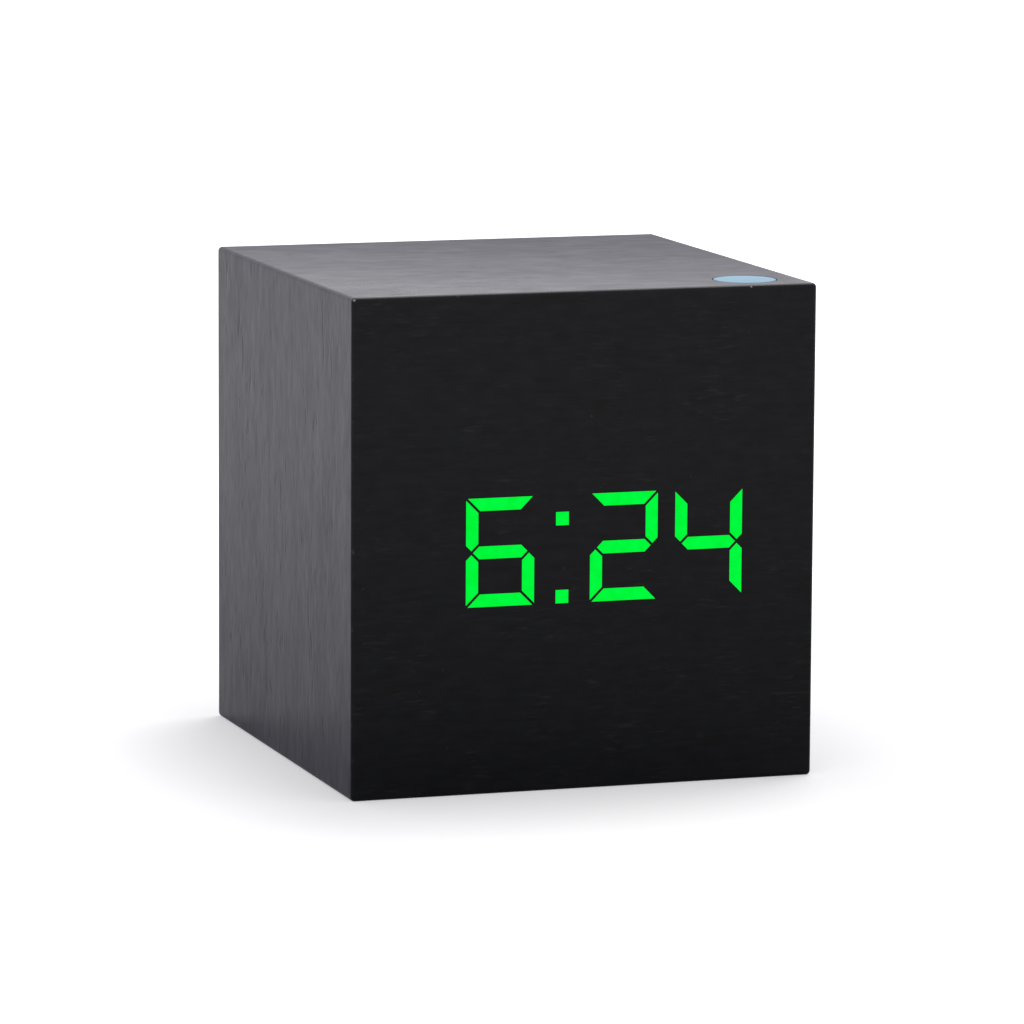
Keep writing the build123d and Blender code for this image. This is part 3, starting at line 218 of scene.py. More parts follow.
# Places on the case where the laminate is worn through to its fibres: X, height and radius. The
# first is the front left top corner and the second is on the top front edge beside the button. They
# lie a little behind the front, and the fibres are paler, rougher and sunk.
WORN_SPOTS = [
    (-half_width + 0.35 * MM, case_height - 0.3 * MM, 0.26 * MM),
    (23.8 * MM, case_height - 0.25 * MM, 0.22 * MM),
]
WORN_SETBACK = 0.2 * MM
# Colour of the bare fibre, which the nicks along the edges also lay on as a painted highlight
WORN_AND_HIGHLIGHT_COLOUR = (0.20, 0.195, 0.20)
WORN_ROUGHNESS = 0.4
WORN_DEPTH = 0.02 * MM

# Faint nicks along the edges, paler than the laminate, so that they paint a highlight along the edges
# as well as showing wear: how far from the edge they are full and gone, their size, the range of
# noise in which they grow, and the share of pale fibre and painted highlight in them
NICK_AND_HIGHLIGHT_BAND = (0.1 * MM, 0.45 * MM)
NICK_AND_HIGHLIGHT_SIZE = 1.6 * MM
NICK_AND_HIGHLIGHT_RANGE = (0.62, 0.78)
NICK_AND_HIGHLIGHT_SHARE = 0.35


def case_edge(g):
    """Distance from a point of the case to the nearest of its edges."""
    x, y, z = g.axes()
    half_height = case_height / 2
    gaps = [
        g.math("SUBTRACT", half_width, g.math("ABSOLUTE", x)),
        g.math("SUBTRACT", half_depth, g.math("ABSOLUTE", y)),
        g.math("SUBTRACT", half_height, g.math("ABSOLUTE", g.math("SUBTRACT", z, half_height))),
    ]
    smaller = g.math("MINIMUM", gaps[0], gaps[1])
    larger = g.math("MAXIMUM", gaps[0], gaps[1])
    return g.math("MAXIMUM", smaller, g.math("MINIMUM", larger, gaps[2]))


def wear_and_edge_highlight(g):
    """Share of bare fibre and painted edge highlight: pale nicks along the edges, and the spots rubbed
    through.
    """
    edge = g.between(case_edge(g), *NICK_AND_HIGHLIGHT_BAND, 1.0, 0.0)
    nicks_and_highlight = g.noise(NICK_AND_HIGHLIGHT_SIZE, detail=3.0, roughness=0.6, shift=7.0)
    share = g.math("MULTIPLY", edge, g.between(nicks_and_highlight, *NICK_AND_HIGHLIGHT_RANGE, 0.0, NICK_AND_HIGHLIGHT_SHARE))
    for x, z, radius in WORN_SPOTS:
        away = g.vector("DISTANCE", g.place, (x, front_y + WORN_SETBACK, z))
        spot = g.between(away, radius / 2, radius, 1.0, 0.0, smooth=True)
        share = g.math("MAXIMUM", share, spot)
    return share


# Roughness of the laminate at the front of the case, where hands polish it, and at the back. On the
# top the polish also fades towards the right, by a share of the way there.
TOP_POLISH = (0.267, 0.425)
SIDE_POLISH = (0.31, 0.34)
POLISH_SLANT = 0.45

# Faint blue haze of the laminate's top layer, seen where the view grazes it
HAZE_WEIGHT = 0.06
HAZE_TINT = (0.38, 0.32, 1.0)
HAZE_ROUGHNESS = 0.4

# Grain of the laminate: its length and width, how dark its pores are and how deep it is pressed
UPRIGHT_GRAIN = (3.8 * MM, 1.8 * MM, 0.50, 0.080 * MM)
LEVEL_GRAIN = (4.2 * MM, 2.8 * MM, 0.3, 0.075 * MM)

# Broad streaks over the fine ones: how much longer and wider they are, and their share of the tone
BROAD_LENGTHS = 4
BROAD_WIDTHS = 3
BROAD_SHARE = 0.4

# Pores, and the patches in which they gather: how many go across a streak, the range of noise in
# which they sink, the patches' length, width and range, the share of the pores outside them, and the
# colour, roughness and relief of a pore
PORES_ACROSS = 1.3
PORE_RANGE = (0.30, 0.42)
PORE_PATCH = (16 * MM, 6 * MM)
PORE_PATCH_RANGE = (0.44, 0.60)
PORE_STRAY_SHARE = 0.25
PORE_COLOUR = (0.006, 0.006, 0.008)
PORE_COLOUR_SHARE = 0.8
PORE_ROUGHNESS = 0.12
PORE_RELIEF_SHARE = 0.6

# Darkest and palest streaks and the swing of their roughness, the clouds that shift their tone, and
# the gloss of the surface
STREAK_COLOURS = ((0.0160, 0.0152, 0.0196), (0.0335, 0.0322, 0.0390))
STREAK_ROUGHNESS = 0.03
CLOUD = (24 * MM, 6 * MM)
CLOUD_SHIFT = 0.2
LAMINATE_SPECULAR = 0.152


def laminate_streaks(g, grain_axis, length, width):
    """Fine streaks along the grain, with broad ones over them."""
    fine = g.noise(along(grain_axis, length, width))
    broad_size = along(grain_axis, BROAD_LENGTHS * length, BROAD_WIDTHS * width)
    return g.weigh(fine, g.noise(broad_size, detail=3.0, shift=3.0), BROAD_SHARE)


def laminate_pores(g, grain_axis, length, width, darkness):
    """Pores along the grain: as dark as given where they gather, and fainter elsewhere."""
    pores = g.noise(along(grain_axis, length, width / PORES_ACROSS), shift=11.0)
    pores = g.between(pores, *PORE_RANGE, darkness, 0.0)
    patch = g.between(g.noise(along(grain_axis, *PORE_PATCH), shift=15.0), *PORE_PATCH_RANGE)
    return g.math("MULTIPLY", pores, g.between(patch, 0.0, 1.0, PORE_STRAY_SHARE, 1.0))


def laminate(name, grain_axis, grain, polish, slant=0.0):
    """Black wood-grain laminate: satin, with short soft streaks and pores along one axis."""
    g = Graph(name)
    length, width, pore_darkness, press = grain
    streak = laminate_streaks(g, grain_axis, length, width)
    pores = laminate_pores(g, grain_axis, length, width, pore_darkness)
    cloud = g.noise(along(grain_axis, *CLOUD), detail=3.0, shift=5.0)
    tone = g.math("ADD", g.stretch(streak), g.stretch(cloud, -CLOUD_SHIFT, CLOUD_SHIFT))
    colour = g.blend(tone, *STREAK_COLOURS)
    colour = g.blend(g.math("MULTIPLY", pores, PORE_COLOUR_SHARE), colour, PORE_COLOUR)
    # Share of pale fibre: the worn spots, and along the edges a share that is partly wear and partly a
    # painted highlight
    fibre_and_highlight = wear_and_edge_highlight(g)
    x, y, _ = g.axes()
    from_hand = g.math("ADD", y, g.math("MULTIPLY", x, slant))
    rubbed = g.between(from_hand, -half_depth, half_depth, *polish)
    roughness = g.math("ADD", rubbed, g.stretch(streak, STREAK_ROUGHNESS, -STREAK_ROUGHNESS))
    roughness = g.math("ADD", roughness, g.math("MULTIPLY", pores, PORE_ROUGHNESS))
    sunk = g.math("MULTIPLY", pores, PORE_RELIEF_SHARE)
    relief = g.bump(g.math("SUBTRACT", streak, sunk), press)
    g.set(
        Base_Color=g.blend(fibre_and_highlight, colour, WORN_AND_HIGHLIGHT_COLOUR),
        Roughness=g.math("ADD", roughness, g.math("MULTIPLY", fibre_and_highlight, WORN_ROUGHNESS)),
        Specular_IOR_Level=LAMINATE_SPECULAR,
        Sheen_Weight=HAZE_WEIGHT,
        Sheen_Roughness=HAZE_ROUGHNESS,
        Sheen_Tint=HAZE_TINT,
        Normal=g.bump(g.math("SUBTRACT", 1.0, fibre_and_highlight), WORN_DEPTH, relief),
    )
    return g.material


# Front film: the length and width of its grain, its clouds and their share of the tone, the range of
# that tone, the colours and roughness at its ends, the gloss, and how deep the grain is
FILM_GRAIN = (6 * MM, 0.7 * MM)
FILM_CLOUD = (3 * MM, 3 * MM, 1.6 * MM)
FILM_CLOUD_SHARE = 0.6
FILM_RANGE = (0.35, 0.65)
FILM_COLOURS = ((0.0, 0.0001, 0.0008), (0.0036, 0.0038, 0.0058))
FILM_ROUGHNESS = (0.33, 0.28)
FILM_SPECULAR = 0.18
FILM_DEPTH = 0.006 * MM

# Pale dashes in patches, and round flecks, on the film: sizes, ranges of noise and colours
DASH = (2.6 * MM, 0.4 * MM)
DASH_RANGE = (0.55, 0.75)
DASH_PATCH = 6 * MM
DASH_PATCH_RANGE = (0.46, 0.62)
DASH_COLOUR = (0.0095, 0.0095, 0.0105)
FLECK = 0.9 * MM
FLECK_RANGE = (0.80, 0.84)
FLECK_COLOUR = (0.030, 0.029, 0.027)


def film(name):
    """Near-black front film: faint level grain in patches, and a few pale flecks."""
    g = Graph(name)
    fine = g.noise(along(X_AXIS, *FILM_GRAIN), shift=2.0)
    cloud = g.noise(FILM_CLOUD, detail=3.0, roughness=0.6, shift=9.0)
    tone = g.weigh(fine, cloud, FILM_CLOUD_SHARE)
    patch = g.between(g.noise(DASH_PATCH, shift=13.0), *DASH_PATCH_RANGE)
    dash = g.between(g.noise(along(X_AXIS, *DASH), shift=17.0), *DASH_RANGE)
    dash = g.math("MULTIPLY", dash, patch)
    fleck = g.between(g.noise(FLECK, detail=1.0, shift=19.0), *FLECK_RANGE)
    colour = g.blend(g.between(tone, *FILM_RANGE), *FILM_COLOURS)
    colour = g.blend(dash, colour, DASH_COLOUR)
    colour = g.blend(fleck, colour, FLECK_COLOUR)
    g.set(
        # Pale share at the film's edges and spots: partly wear, partly a painted edge highlight
        Base_Color=g.blend(wear_and_edge_highlight(g), colour, WORN_AND_HIGHLIGHT_COLOUR),
        Roughness=g.between(tone, *FILM_RANGE, *FILM_ROUGHNESS),
        Specular_IOR_Level=FILM_SPECULAR,
        Normal=g.bump(g.math("ADD", fine, dash), FILM_DEPTH),
    )
    return g.material


# Lit segments: the colour and roughness of the film over them, the greens of their light and the
# film's mottle
LIT_FILM_COLOUR = (0.0, 0.01, 0.001)
LIT_FILM_ROUGHNESS = 0.4
LIT_GREENS = ((0.0005, 0.90, 0.036), (0.0005, 0.98, 0.056))
LIT_MOTTLE = 1.3 * MM


def lit_film(name):
    """Front film over a lit segment: green light, a little mottled by the film."""
    g = Graph(name)
    mottle = g.noise(LIT_MOTTLE, detail=3.0)
    g.set(
        Base_Color=LIT_FILM_COLOUR,
        Roughness=LIT_FILM_ROUGHNESS,
        Specular_IOR_Level=0.0,
        Emission_Color=g.blend(g.stretch(mottle), *LIT_GREENS),
        Emission_Strength=1.0,
    )
    return g.material


# Moulded plastic: the size of its flow clouds, how far they darken and lighten it, and how far its
# roughness swings over the range of the pebbles and the clouds together
FLOW_CLOUD = 9 * MM
FLOW_SHADES = (0.86, 1.12)
FLOW_ROUGHNESS = 0.06


def moulded(name, colour, roughness=0.45, grain=0.35 * MM, depth=0.01 * MM):
    """Moulded plastic: a fine pebbled skin, faint flow clouds and slightly uneven gloss."""
    g = Graph(name)
    pebble = g.noise(grain, detail=3.0, roughness=0.6)
    cloud = g.noise(FLOW_CLOUD, shift=4.0)
    dark, pale = (shaded(colour, share) for share in FLOW_SHADES)
    least, most = (2 * value for value in NOISE_RANGE)
    uneven = g.math("ADD", pebble, cloud)
    g.set(
        Base_Color=g.blend(g.stretch(cloud), dark, pale),
        Roughness=g.between(
            uneven, least, most, roughness + FLOW_ROUGHNESS, roughness - FLOW_ROUGHNESS
        ),
        Normal=g.bump(pebble, depth),
    )
    return g.material


# Sheet metal: the length and width of its drawn lines, their depth and the swing of their roughness,
# and the size of its dull patches, the range of noise in which they grow, and how much darker and
# rougher they are
DRAWN_LINE = (3.2 * MM, 0.1 * MM)
DRAWN_DEPTH = 0.004 * MM
DRAWN_ROUGHNESS = 0.04
DULL_PATCH = 3 * MM
DULL_RANGE = (0.35, 0.7)
DULL_SHADE = 0.78
DULL_ROUGHNESS = 0.14


def metal(name, colour, roughness):
    """Plated or bare sheet metal with fine drawn lines and dull patches."""
    g = Graph(name)
    lines = g.noise(along(X_AXIS, *DRAWN_LINE), detail=3.0, roughness=0.6)
    dull = g.noise(DULL_PATCH, detail=3.0, roughness=0.6, shift=6.0)
    patchy = g.stretch(dull, roughness, roughness + DULL_ROUGHNESS)
    drawn = g.stretch(lines, -DRAWN_ROUGHNESS, DRAWN_ROUGHNESS)
    g.set(
        Base_Color=g.blend(g.between(dull, *DULL_RANGE), colour, shaded(colour, DULL_SHADE)),
        Metallic=1.0,
        Roughness=g.math("ADD", patchy, drawn),
        Normal=g.bump(lines, DRAWN_DEPTH),
    )
    return g.material


# Button: the pitch and depth of its turned rings, its two blues, and the painted shade along its rim,
# which grows between two distances from its edge
RING_PITCH = 0.22 * MM
RING_DEPTH = 0.002 * MM
BUTTON_CLOUD = 2.5 * MM
BUTTON_BLUES = ((0.190, 0.370, 0.53), (0.250, 0.440, 0.59))
BUTTON_ROUGHNESS = (0.36, 0.46)
BUTTON_SPECULAR = 0.2
RIM_SHADE_START = 0.35 * MM
RIM_SHADE_END = 0.05 * MM
RIM_SHADE_COLOUR = (0.07, 0.16, 0.28)
RIM_SHADE_SHARE = 0.75


def button_plastic(name):
    """Light blue cap with turned rings and painted shade along its rim."""
    g = Graph(name)
    x, y, _ = g.axes()
    from_axis = g.diagonal(
        g.math("SUBTRACT", x, button_centre.x), g.math("SUBTRACT", y, button_centre.y)
    )
    rings = g.math("SINE", g.math("MULTIPLY", from_axis, 2 * math.pi / RING_PITCH))
    cloud = g.noise(BUTTON_CLOUD, detail=3.0)
    colour = g.blend(g.stretch(cloud), *BUTTON_BLUES)
    # Painted shade: a dark blue line that grows towards the cap's edge
    rim = g.between(
        from_axis, button_radius - RIM_SHADE_START, button_radius - RIM_SHADE_END, 0.0, RIM_SHADE_SHARE
    )
    g.set(
        Base_Color=g.blend(rim, colour, RIM_SHADE_COLOUR),
        Roughness=g.stretch(cloud, *BUTTON_ROUGHNESS),
        Specular_IOR_Level=BUTTON_SPECULAR,
        Normal=g.bump(g.between(rings, -1.0, 1.0), RING_DEPTH),
    )
    return g.material


# Pressed wood fibre: the size and depth of its fibres, its two tans, roughness and darker flecks
FIBRE = (0.5 * MM, 0.5 * MM, 0.14 * MM)
FIBRE_DEPTH = 0.03 * MM
FIBRE_TANS = ((0.26, 0.17, 0.10), (0.46, 0.33, 0.21))
FIBRE_ROUGHNESS = 0.85
WOOD_FLECK = 0.9 * MM
WOOD_FLECK_RANGE = (0.60, 0.72)
WOOD_FLECK_COLOUR = (0.14, 0.085, 0.05)
WOOD_FLECK_SHARE = 0.5


def bare_wood(name):
    """Pressed wood fibre: short matted fibres in two tans."""
    g = Graph(name)
    fibres = g.noise(FIBRE, detail=4.0, roughness=0.65)
    flecks = g.between(g.noise(WOOD_FLECK, shift=8.0), *WOOD_FLECK_RANGE)
    flecks = g.math("MULTIPLY", flecks, WOOD_FLECK_SHARE)
    g.set(
        Base_Color=g.blend(flecks, g.blend(g.stretch(fibres), *FIBRE_TANS), WOOD_FLECK_COLOUR),
        Roughness=FIBRE_ROUGHNESS,
        Normal=g.bump(fibres, FIBRE_DEPTH),
    )
    return g.material


# Circuit board: the pitch of its tracks, how far they wander and over what length, the patches that
# only level tracks cross, how far from its middle a track's edge starts and ends, its height, the
# greens beside the copper and on it, and their roughness
TRACK_PITCH = 1.1 * MM
TRACK_WANDER = 5 * MM
TRACK_WANDER_SIZE = 6 * MM
TRACK_PATCH = 4 * MM
TRACK_PATCH_RANGE = (0.48, 0.52)
TRACK_EDGE = (0.16 * MM, 0.22 * MM)
TRACK_HEIGHT = 0.03 * MM
BOARD_GREENS = ((0.012, 0.075, 0.035), (0.035, 0.17, 0.075))
BOARD_ROUGHNESS = 0.32


def circuit_board(name):
    """Green board: darker where no copper lies under the mask, with fine tracks."""
    g = Graph(name)
    x, _, z = g.axes()
    wander = g.math("MULTIPLY", g.noise(TRACK_WANDER_SIZE, detail=1.0), TRACK_WANDER)
    from_upright = g.math("PINGPONG", g.math("ADD", x, wander), TRACK_PITCH)
    from_level = g.math("PINGPONG", g.math("ADD", z, wander), TRACK_PITCH)
    patch = g.between(g.noise(TRACK_PATCH, detail=1.0, shift=3.0), *TRACK_PATCH_RANGE)
    from_upright = g.math("ADD", from_upright, g.math("MULTIPLY", patch, TRACK_PITCH))
    copper = g.between(g.math("MINIMUM", from_upright, from_level), *TRACK_EDGE, 1.0, 0.0)
    g.set(
        Base_Color=g.blend(copper, *BOARD_GREENS),
        Roughness=BOARD_ROUGHNESS,
        Normal=g.bump(copper, TRACK_HEIGHT),
    )
    return g.material


# Battery cells: how far inside their radius the bare metal of an end stops and the sleeve begins, how
# far from their middle the dark print turns to silver, their colours and gloss, and the scuffs
cells_low, cells_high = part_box("battery_cells")
CELL_COUNT = 3
SLEEVE_EDGE = (0.75 * MM, 0.6 * MM)
PRINT_EDGE = (13.2 * MM, 13.4 * MM)
PRINT_COLOURS = ((0.035, 0.04, 0.05), (0.50, 0.51, 0.53))
CELL_METAL = (0.62, 0.61, 0.59)
SLEEVE_DULLNESS = 0.8
CELL_ROUGHNESS = (0.26, 0.38)
SCUFF = (2.2 * MM, 0.8 * MM, 0.8 * MM)
SCUFF_RANGE = (0.60, 0.80)
SCUFF_SHARE = 0.4
SCUFF_COLOUR = (0.30, 0.30, 0.31)
SCUFF_DEPTH = 0.004 * MM


def cell_sleeve(name):
    """Battery cells: a printed two-tone sleeve round each, and bare metal on its ends."""
    g = Graph(name)
    x, y, z = g.axes()
    cell_radius = (cells_high.y - cells_low.y) / 2
    pitch = (cells_high.z - cells_low.z - 2 * cell_radius) / (CELL_COUNT - 1)
    axis_y = (cells_low.y + cells_high.y) / 2
    from_row = g.math("PINGPONG", g.math("SUBTRACT", z, cells_low.z + cell_radius), pitch / 2)
    from_axis = g.diagonal(from_row, g.math("SUBTRACT", y, axis_y))
    sleeve = g.between(from_axis, *(cell_radius - inset for inset in SLEEVE_EDGE))
    scuff = g.noise(SCUFF, detail=4.0, roughness=0.6)
    printed = g.blend(g.between(g.math("ABSOLUTE", x), *PRINT_EDGE), *PRINT_COLOURS)
    scuffed = g.between(scuff, *SCUFF_RANGE, 0.0, SCUFF_SHARE)
    printed = g.blend(scuffed, printed, SCUFF_COLOUR)
    g.set(
        Base_Color=g.blend(sleeve, CELL_METAL, printed),
        Metallic=g.math("SUBTRACT", 1.0, g.math("MULTIPLY", sleeve, SLEEVE_DULLNESS)),
        Roughness=g.stretch(scuff, *CELL_ROUGHNESS),
        Normal=g.bump(scuff, SCUFF_DEPTH),
    )
    return g.material


# Clear filling: its clouds and tints, its roughness, how much light it lets through, and how far it
# bends that light
FILLING_CLOUD = 1.2 * MM
FILLING_TINTS = ((0.80, 0.86, 0.80), (0.93, 0.96, 0.93))
FILLING_ROUGHNESS = (0.18, 0.35)
FILLING_CLEARNESS = 0.6
FILLING_IOR = 1.5


def clear_filling(name):
    """Milky clear filling of the reflector's cells."""
    g = Graph(name)
    cloud = g.noise(FILLING_CLOUD, detail=3.0)
    g.set(
        Base_Color=g.blend(cloud, *FILLING_TINTS),
        Roughness=g.stretch(cloud, *FILLING_ROUGHNESS),
        Transmission_Weight=FILLING_CLEARNESS,
        IOR=FILLING_IOR,
    )
    return g.material


# Capacitors: how far before their rear ends the sleeve stops and bare metal begins, and the mottle,
# colours and gloss of both
capacitor_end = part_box("capacitors")[1].y
CAPACITOR_TOP = (0.5 * MM, 0.4 * MM)
CAPACITOR_MOTTLE = 1.5 * MM
CAPACITOR_BLUES = ((0.012, 0.022, 0.06), (0.022, 0.038, 0.09))
CAPACITOR_METAL = (0.66, 0.66, 0.67)
CAPACITOR_ROUGHNESS = (0.28, 0.40)
CAPACITOR_DEPTH = 0.006 * MM


def capacitor_sleeve(name):
    """Capacitors: a dark blue sleeve and a bare metal end."""
    g = Graph(name)
    _, y, _ = g.axes()
    top = g.between(y, *(capacitor_end - inset for inset in CAPACITOR_TOP))
    mottle = g.noise(CAPACITOR_MOTTLE, detail=3.0)
    sleeve = g.blend(g.stretch(mottle), *CAPACITOR_BLUES)
    g.set(
        Base_Color=g.blend(top, sleeve, CAPACITOR_METAL),
        Metallic=top,
        Roughness=g.stretch(mottle, *CAPACITOR_ROUGHNESS),
        Normal=g.bump(mottle, CAPACITOR_DEPTH),
    )
    return g.material


# Ribbon cable: its wires, the shares of the first wire's width between which its red ends, the
# colours, the grey painted darker in the grooves as shade and paler on the crests as highlight, the
# roughness, and how high a wire stands
ribbon_low, ribbon_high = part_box("ribbon_cable")
RIBBON_WIRES = 8
RED_EDGE = (0.98, 1.0)
RIBBON_SHADED_AND_LIT_GREYS = ((0.26, 0.26, 0.27), (0.46, 0.46, 0.47))
RIBBON_RED = (0.45, 0.04, 0.03)
RIBBON_ROUGHNESS = 0.5
RIDGE_HEIGHT = 0.12 * MM


def ribbon(name):
    """Flat grey cable: one ridge for each wire, painted darker between them as shade, and a red first
    wire.
    """
    g = Graph(name)
    x, _, _ = g.axes()
    wire = (ribbon_high.x - ribbon_low.x) / RIBBON_WIRES
    from_wire = g.math("PINGPONG", g.math("SUBTRACT", x, ribbon_low.x), wire / 2)
    ridge = g.between(from_wire, 0.0, wire / 2, smooth=True)
    first = g.between(x, *(ribbon_low.x + share * wire for share in RED_EDGE), 1.0, 0.0)
    g.set(
        # Painted shade and highlight: the grey is darker in the grooves and paler on the crests
        Base_Color=g.blend(first, g.blend(ridge, *RIBBON_SHADED_AND_LIT_GREYS), RIBBON_RED),
        Roughness=RIBBON_ROUGHNESS,
        Normal=g.bump(ridge, RIDGE_HEIGHT),
    )
    return g.material


# The finish of each slot of the record. Moulded plastics give their colour, roughness, and the size
# and depth of their pebbles where these aren't the usual ones, and metals their colour and roughness.
SLOT_FINISHES = {
    "front_laminate": (film,),
    "lit_film": (lit_film,),
    "white_plastic": (moulded, (0.74, 0.74, 0.72), 0.42),
    "clear_epoxy": (clear_filling,),
    "light_chip": (moulded, (0.70, 0.62, 0.25), 0.35, 0.1 * MM, 0.003 * MM),
    "circuit_board": (circuit_board,),
    "plated_steel": (metal, (0.62, 0.61, 0.58), 0.26),
    "black_steel": (metal, (0.055, 0.055, 0.06), 0.34),
    "chip_black": (moulded, (0.022, 0.022, 0.023), 0.52, 0.2 * MM),
    "capacitor_sleeve": (capacitor_sleeve,),
    "resistor_ceramic": (moulded, (0.035, 0.035, 0.037), 0.3, 0.15 * MM),
    "header_white": (moulded, (0.72, 0.70, 0.63), 0.4),
    "ribbon_grey": (ribbon,),
    "button_blue": (button_plastic,),
    "bare_wood": (bare_wood,),
    "cover_black": (moulded, (0.021, 0.021, 0.022), 0.50, 0.30 * MM, 0.02 * MM),
    "key_black": (moulded, (0.030, 0.030, 0.031), 0.42, 0.22 * MM, 0.008 * MM),
    "cell_sleeve": (cell_sleeve,),
    "contact_nickel": (metal, (0.66, 0.62, 0.56), 0.22),
    "lead_red": (moulded, (0.50, 0.025, 0.02), 0.38, 0.2 * MM, 0.004 * MM),
    "lead_black": (moulded, (0.018, 0.018, 0.018), 0.38, 0.2 * MM, 0.004 * MM),
    "lead_white": (moulded, (0.70, 0.70, 0.68), 0.38, 0.2 * MM, 0.004 * MM),
    "socket_black": (moulded, (0.020, 0.020, 0.021), 0.36, 0.25 * MM),
}
SLOT_MATERIALS = {
    slot: make(f"{slot}_finish", *values) for slot, (make, *values) in SLOT_FINISHES.items()
}

# The case's boards share one slot and differ in the run of their grain
level_grain = laminate("case_laminate_level", X_AXIS, LEVEL_GRAIN, TOP_POLISH, POLISH_SLANT)
upright_grain = laminate("case_laminate_upright", Z_AXIS, UPRIGHT_GRAIN, SIDE_POLISH)
BOARD_MATERIALS = {
    "top_board": level_grain,
    "bottom_board": level_grain,
    "left_board": upright_grain,
    "right_board": upright_grain,
}


def dress_nodes():
    """Give every CAD node the procedural finish of its material slot."""
    for name, node in nodes.items():
        for slot in node.material_slots:
            slot.material = BOARD_MATERIALS.get(name) or SLOT_MATERIALS[slot.material.name]


# Raised white marks on the rear: a dot and two arrow heads above the keys, and an arrow head between
# the door's latch and its grip, which points the way that the latch is pressed
MARK_HALF = 0.85 * MM
MARK_HEIGHT = 0.12 * MM
MARK_BEVEL = 0.03 * MM
MARK_BEVEL_STEPS = 2
MARK_SLOT = "header_white"
KEY_MARK_GAP = 0.7 * MM
LATCH_MARK_DROP = 4.1 * MM
DOT_CORNERS = 24
ARROW_CORNERS = 3


def mark_outline(corners, turn):
    """Corners of a round or three-sided mark, in X and Z from its middle."""
    steps = [turn + 2 * math.pi * i / corners for i in range(corners)]
    return [(MARK_HALF * math.sin(step), MARK_HALF * math.cos(step)) for step in steps]


def raised_mark(name, node, body, x, z, outline):
    """A low bevelled mark that stands on a node's back face and rides on its body."""
    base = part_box(node)[1].y
    ends = (base - MARK_HEIGHT, base + MARK_HEIGHT)
    rings = [[(x + u, y, z + v) for u, v in outline] for y in ends]
    count = len(outline)
    sides = [(i, (i + 1) % count, count + (i + 1) % count, count + i) for i in range(count)]
    faces = [tuple(reversed(range(count))), tuple(range(count, 2 * count)), *sides]
    mesh = bpy.data.meshes.new(name)
    mesh.from_pydata(rings[0] + rings[1], [], faces)
    mesh.materials.append(SLOT_MATERIALS[MARK_SLOT])
    mark = bpy.data.objects.new(name, mesh)
    bpy.context.scene.collection.objects.link(mark)
    bevel = mark.modifiers.new("bevel", "BEVEL")
    bevel.width = MARK_BEVEL
    bevel.segments = MARK_BEVEL_STEPS
    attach(mark, body)


def make_marks():
    """The marks above the three keys and below the door's latch."""
    dot = mark_outline(DOT_CORNERS, 0.0)
    up_arrow = mark_outline(ARROW_CORNERS, 0.0)
    down_arrow = mark_outline(ARROW_CORNERS, math.pi)
    for key, outline in (("set", dot), ("up", up_arrow), ("down", down_arrow)):
        low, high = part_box(f"{key}_key")
        height = high.z + KEY_MARK_GAP
        raised_mark(f"{key}_mark", "rear_cover", "case", (low.x + high.x) / 2, height, outline)
    low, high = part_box("battery_door")
    height = high.z - LATCH_MARK_DROP
    raised_mark("latch_mark", "battery_door", "battery_door", (low.x + high.x) / 2, height, down_arrow)


# Floor: its size and share of light given back, which wavers a little like paper
FLOOR_HALF_SIDE = 6.0
FLOOR_ALBEDO = 0.60
FLOOR_WAVER = 0.005
FLOOR_ROUGHNESS = 0.9
PAPER_GRAIN = 1.5 * MM

# Glow that lifts the floor to plain white, for the eye and for gloss: its strength at the foot of the
# case and beyond the reach of the shadow, and the distance over which it grows. To the eye it grows
# faster on the left of the case, and has a little less green, because the lit digits add some.
EYE_GLOW = (0.37, 0.80)
EYE_REACH = 78 * MM
EYE_LEFTWARD = 1.7
EYE_TINT = (0.98, 0.96, 1.0)
GLOSS_GLOW = (0.0, 0.44)
GLOSS_REACH = 420 * MM

# Floor in the shade before the display, as the film mirrors it: its share of black at the foot of the
# case, how far it reaches, and the strip before the front over which it sets in
SHADE_SHARE = 0.45
SHADE_REACH = 200 * MM
SHADE_ONSET = 10 * MM


def rays(tree, *kinds):
    """Share that is 1 for rays of the given kinds."""
    path = tree.nodes.new("ShaderNodeLightPath")
    share = path.outputs[f"Is {kinds[0]} Ray"]
    for kind in kinds[1:]:
        either = tree.nodes.new("ShaderNodeMath")
        either.operation = "MAXIMUM"
        tree.links.new(share, either.inputs[0])
        tree.links.new(path.outputs[f"Is {kind} Ray"], either.inputs[1])
        share = either.outputs["Value"]
    return share


def away_from_case(g, leftward=1.0):
    """Distance along the floor from the foot of the case, with the way left counted leftward times."""
    x, y, _ = g.axes()
    sides = (
        (g.math("MULTIPLY", x, -1.0), half_width, leftward),
        (x, half_width, 1.0),
        (g.math("ABSOLUTE", y), half_depth, 1.0),
    )
    beyond = []
    for place, face, times in sides:
        gap = g.math("MAXIMUM", g.math("SUBTRACT", place, face), 0.0)
        beyond.append(g.math("MULTIPLY", gap, times))
    return g.diagonal(*beyond)


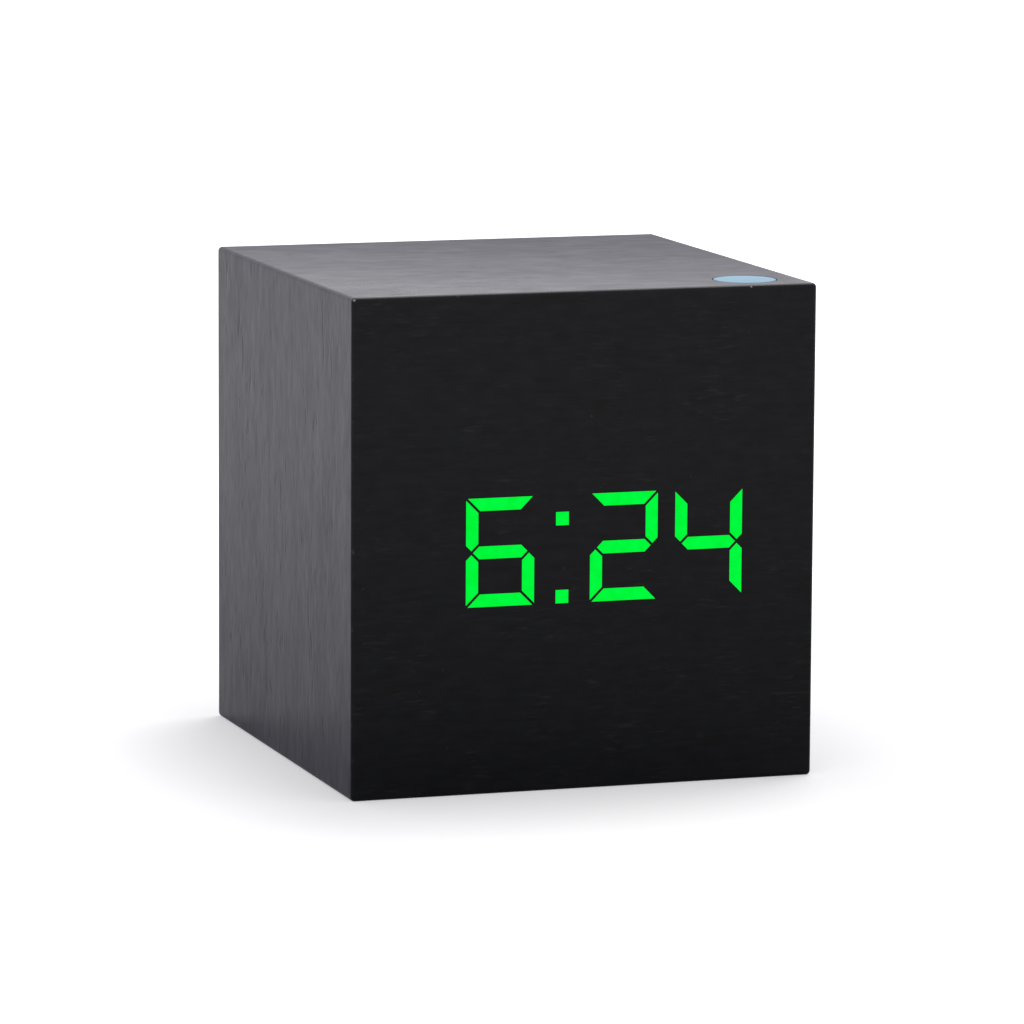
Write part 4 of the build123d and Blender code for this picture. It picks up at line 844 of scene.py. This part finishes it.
def floor_paint():
    """White matt floor: it glows to the eye and to gloss away from the case, and is shaded before it."""
    g = Graph("floor_paint")
    away = away_from_case(g)
    eye = g.between(away_from_case(g, EYE_LEFTWARD), 0.0, EYE_REACH, *EYE_GLOW)
    eye = g.math("MULTIPLY", rays(g.tree, "Camera", "Transmission"), eye)
    gloss = g.between(away, 0.0, GLOSS_REACH, *GLOSS_GLOW, smooth=True)
    gloss = g.math("MULTIPLY", rays(g.tree, "Glossy"), gloss)
    _, y, _ = g.axes()
    before = g.between(y, -half_depth - SHADE_ONSET, -half_depth, 1.0, 0.0)
    shade = g.between(away, 0.0, SHADE_REACH, SHADE_SHARE, 0.0)
    shade = g.math("MULTIPLY", g.math("MULTIPLY", before, shade), rays(g.tree, "Glossy"))
    paper = g.noise(PAPER_GRAIN, detail=3.0, roughness=0.6)
    dark = shaded(WHITE, FLOOR_ALBEDO - FLOOR_WAVER)
    pale = shaded(WHITE, FLOOR_ALBEDO + FLOOR_WAVER)
    g.set(
        Base_Color=g.blend(shade, g.blend(g.stretch(paper), dark, pale), BLACK),
        Roughness=FLOOR_ROUGHNESS,
        Specular_IOR_Level=0.0,
        Emission_Color=EYE_TINT,
        Emission_Strength=g.math("ADD", eye, gloss),
    )
    return g.material


def make_floor():
    """White floor that keeps the clock's shadow and fades into the white backdrop."""
    corners = [(-1, -1), (1, -1), (1, 1), (-1, 1)]
    mesh = bpy.data.meshes.new("floor")
    mesh.from_pydata(
        [(x * FLOOR_HALF_SIDE, y * FLOOR_HALF_SIDE, 0.0) for x, y in corners], [], [(0, 1, 2, 3)]
    )
    mesh.materials.append(floor_paint())
    floor = bpy.data.objects.new("floor", mesh)
    bpy.context.scene.collection.objects.link(floor)


# Strength of the world's soft light on everything, while the eye and gloss see it plain white
AMBIENT = 0.78


def make_world():
    """White all round to the eye and to gloss, and plain soft light for everything else."""
    world = bpy.data.worlds.new("studio")
    bpy.context.scene.world = world
    world.use_nodes = True
    tree = world.node_tree
    background = tree.nodes["Background"]
    background.inputs["Color"].default_value = (*WHITE, 1.0)
    strength = tree.nodes.new("ShaderNodeMapRange")
    seen = rays(tree, "Camera", "Glossy", "Transmission")
    tree.links.new(seen, strength.inputs["Value"])
    strength.inputs["To Min"].default_value = AMBIENT
    strength.inputs["To Max"].default_value = 1.0
    tree.links.new(strength.outputs["Result"], background.inputs["Strength"])


# Soft boxes: place, watts and side. The brighter one hangs behind on the right, so the shadow falls
# forward and to the left.
SOFT_BOXES = {
    "key_light": (Vector((0.38, 0.34, 0.92)), 4.0, 0.6),
    "fill_light": (Vector((-0.7, -0.8, 0.7)), 1.0, 0.8),
}


def make_lights():
    """Large square lamps that look at the middle of the clock."""
    target = Vector((0, 0, case_height / 2))
    for name, (place, watts, side) in SOFT_BOXES.items():
        data = bpy.data.lights.new(name, "AREA")
        data.shape = "SQUARE"
        data.size = side
        data.energy = watts
        lamp = bpy.data.objects.new(name, data)
        lamp.location = place
        lamp.rotation_mode = "QUATERNION"
        lamp.rotation_quaternion = (target - place).to_track_quat("-Z", "Y")
        bpy.context.scene.collection.objects.link(lamp)


make_camera()
dress_nodes()
make_marks()
make_floor()
make_world()
make_lights()
bpy.context.scene.view_settings.view_transform = "Standard"
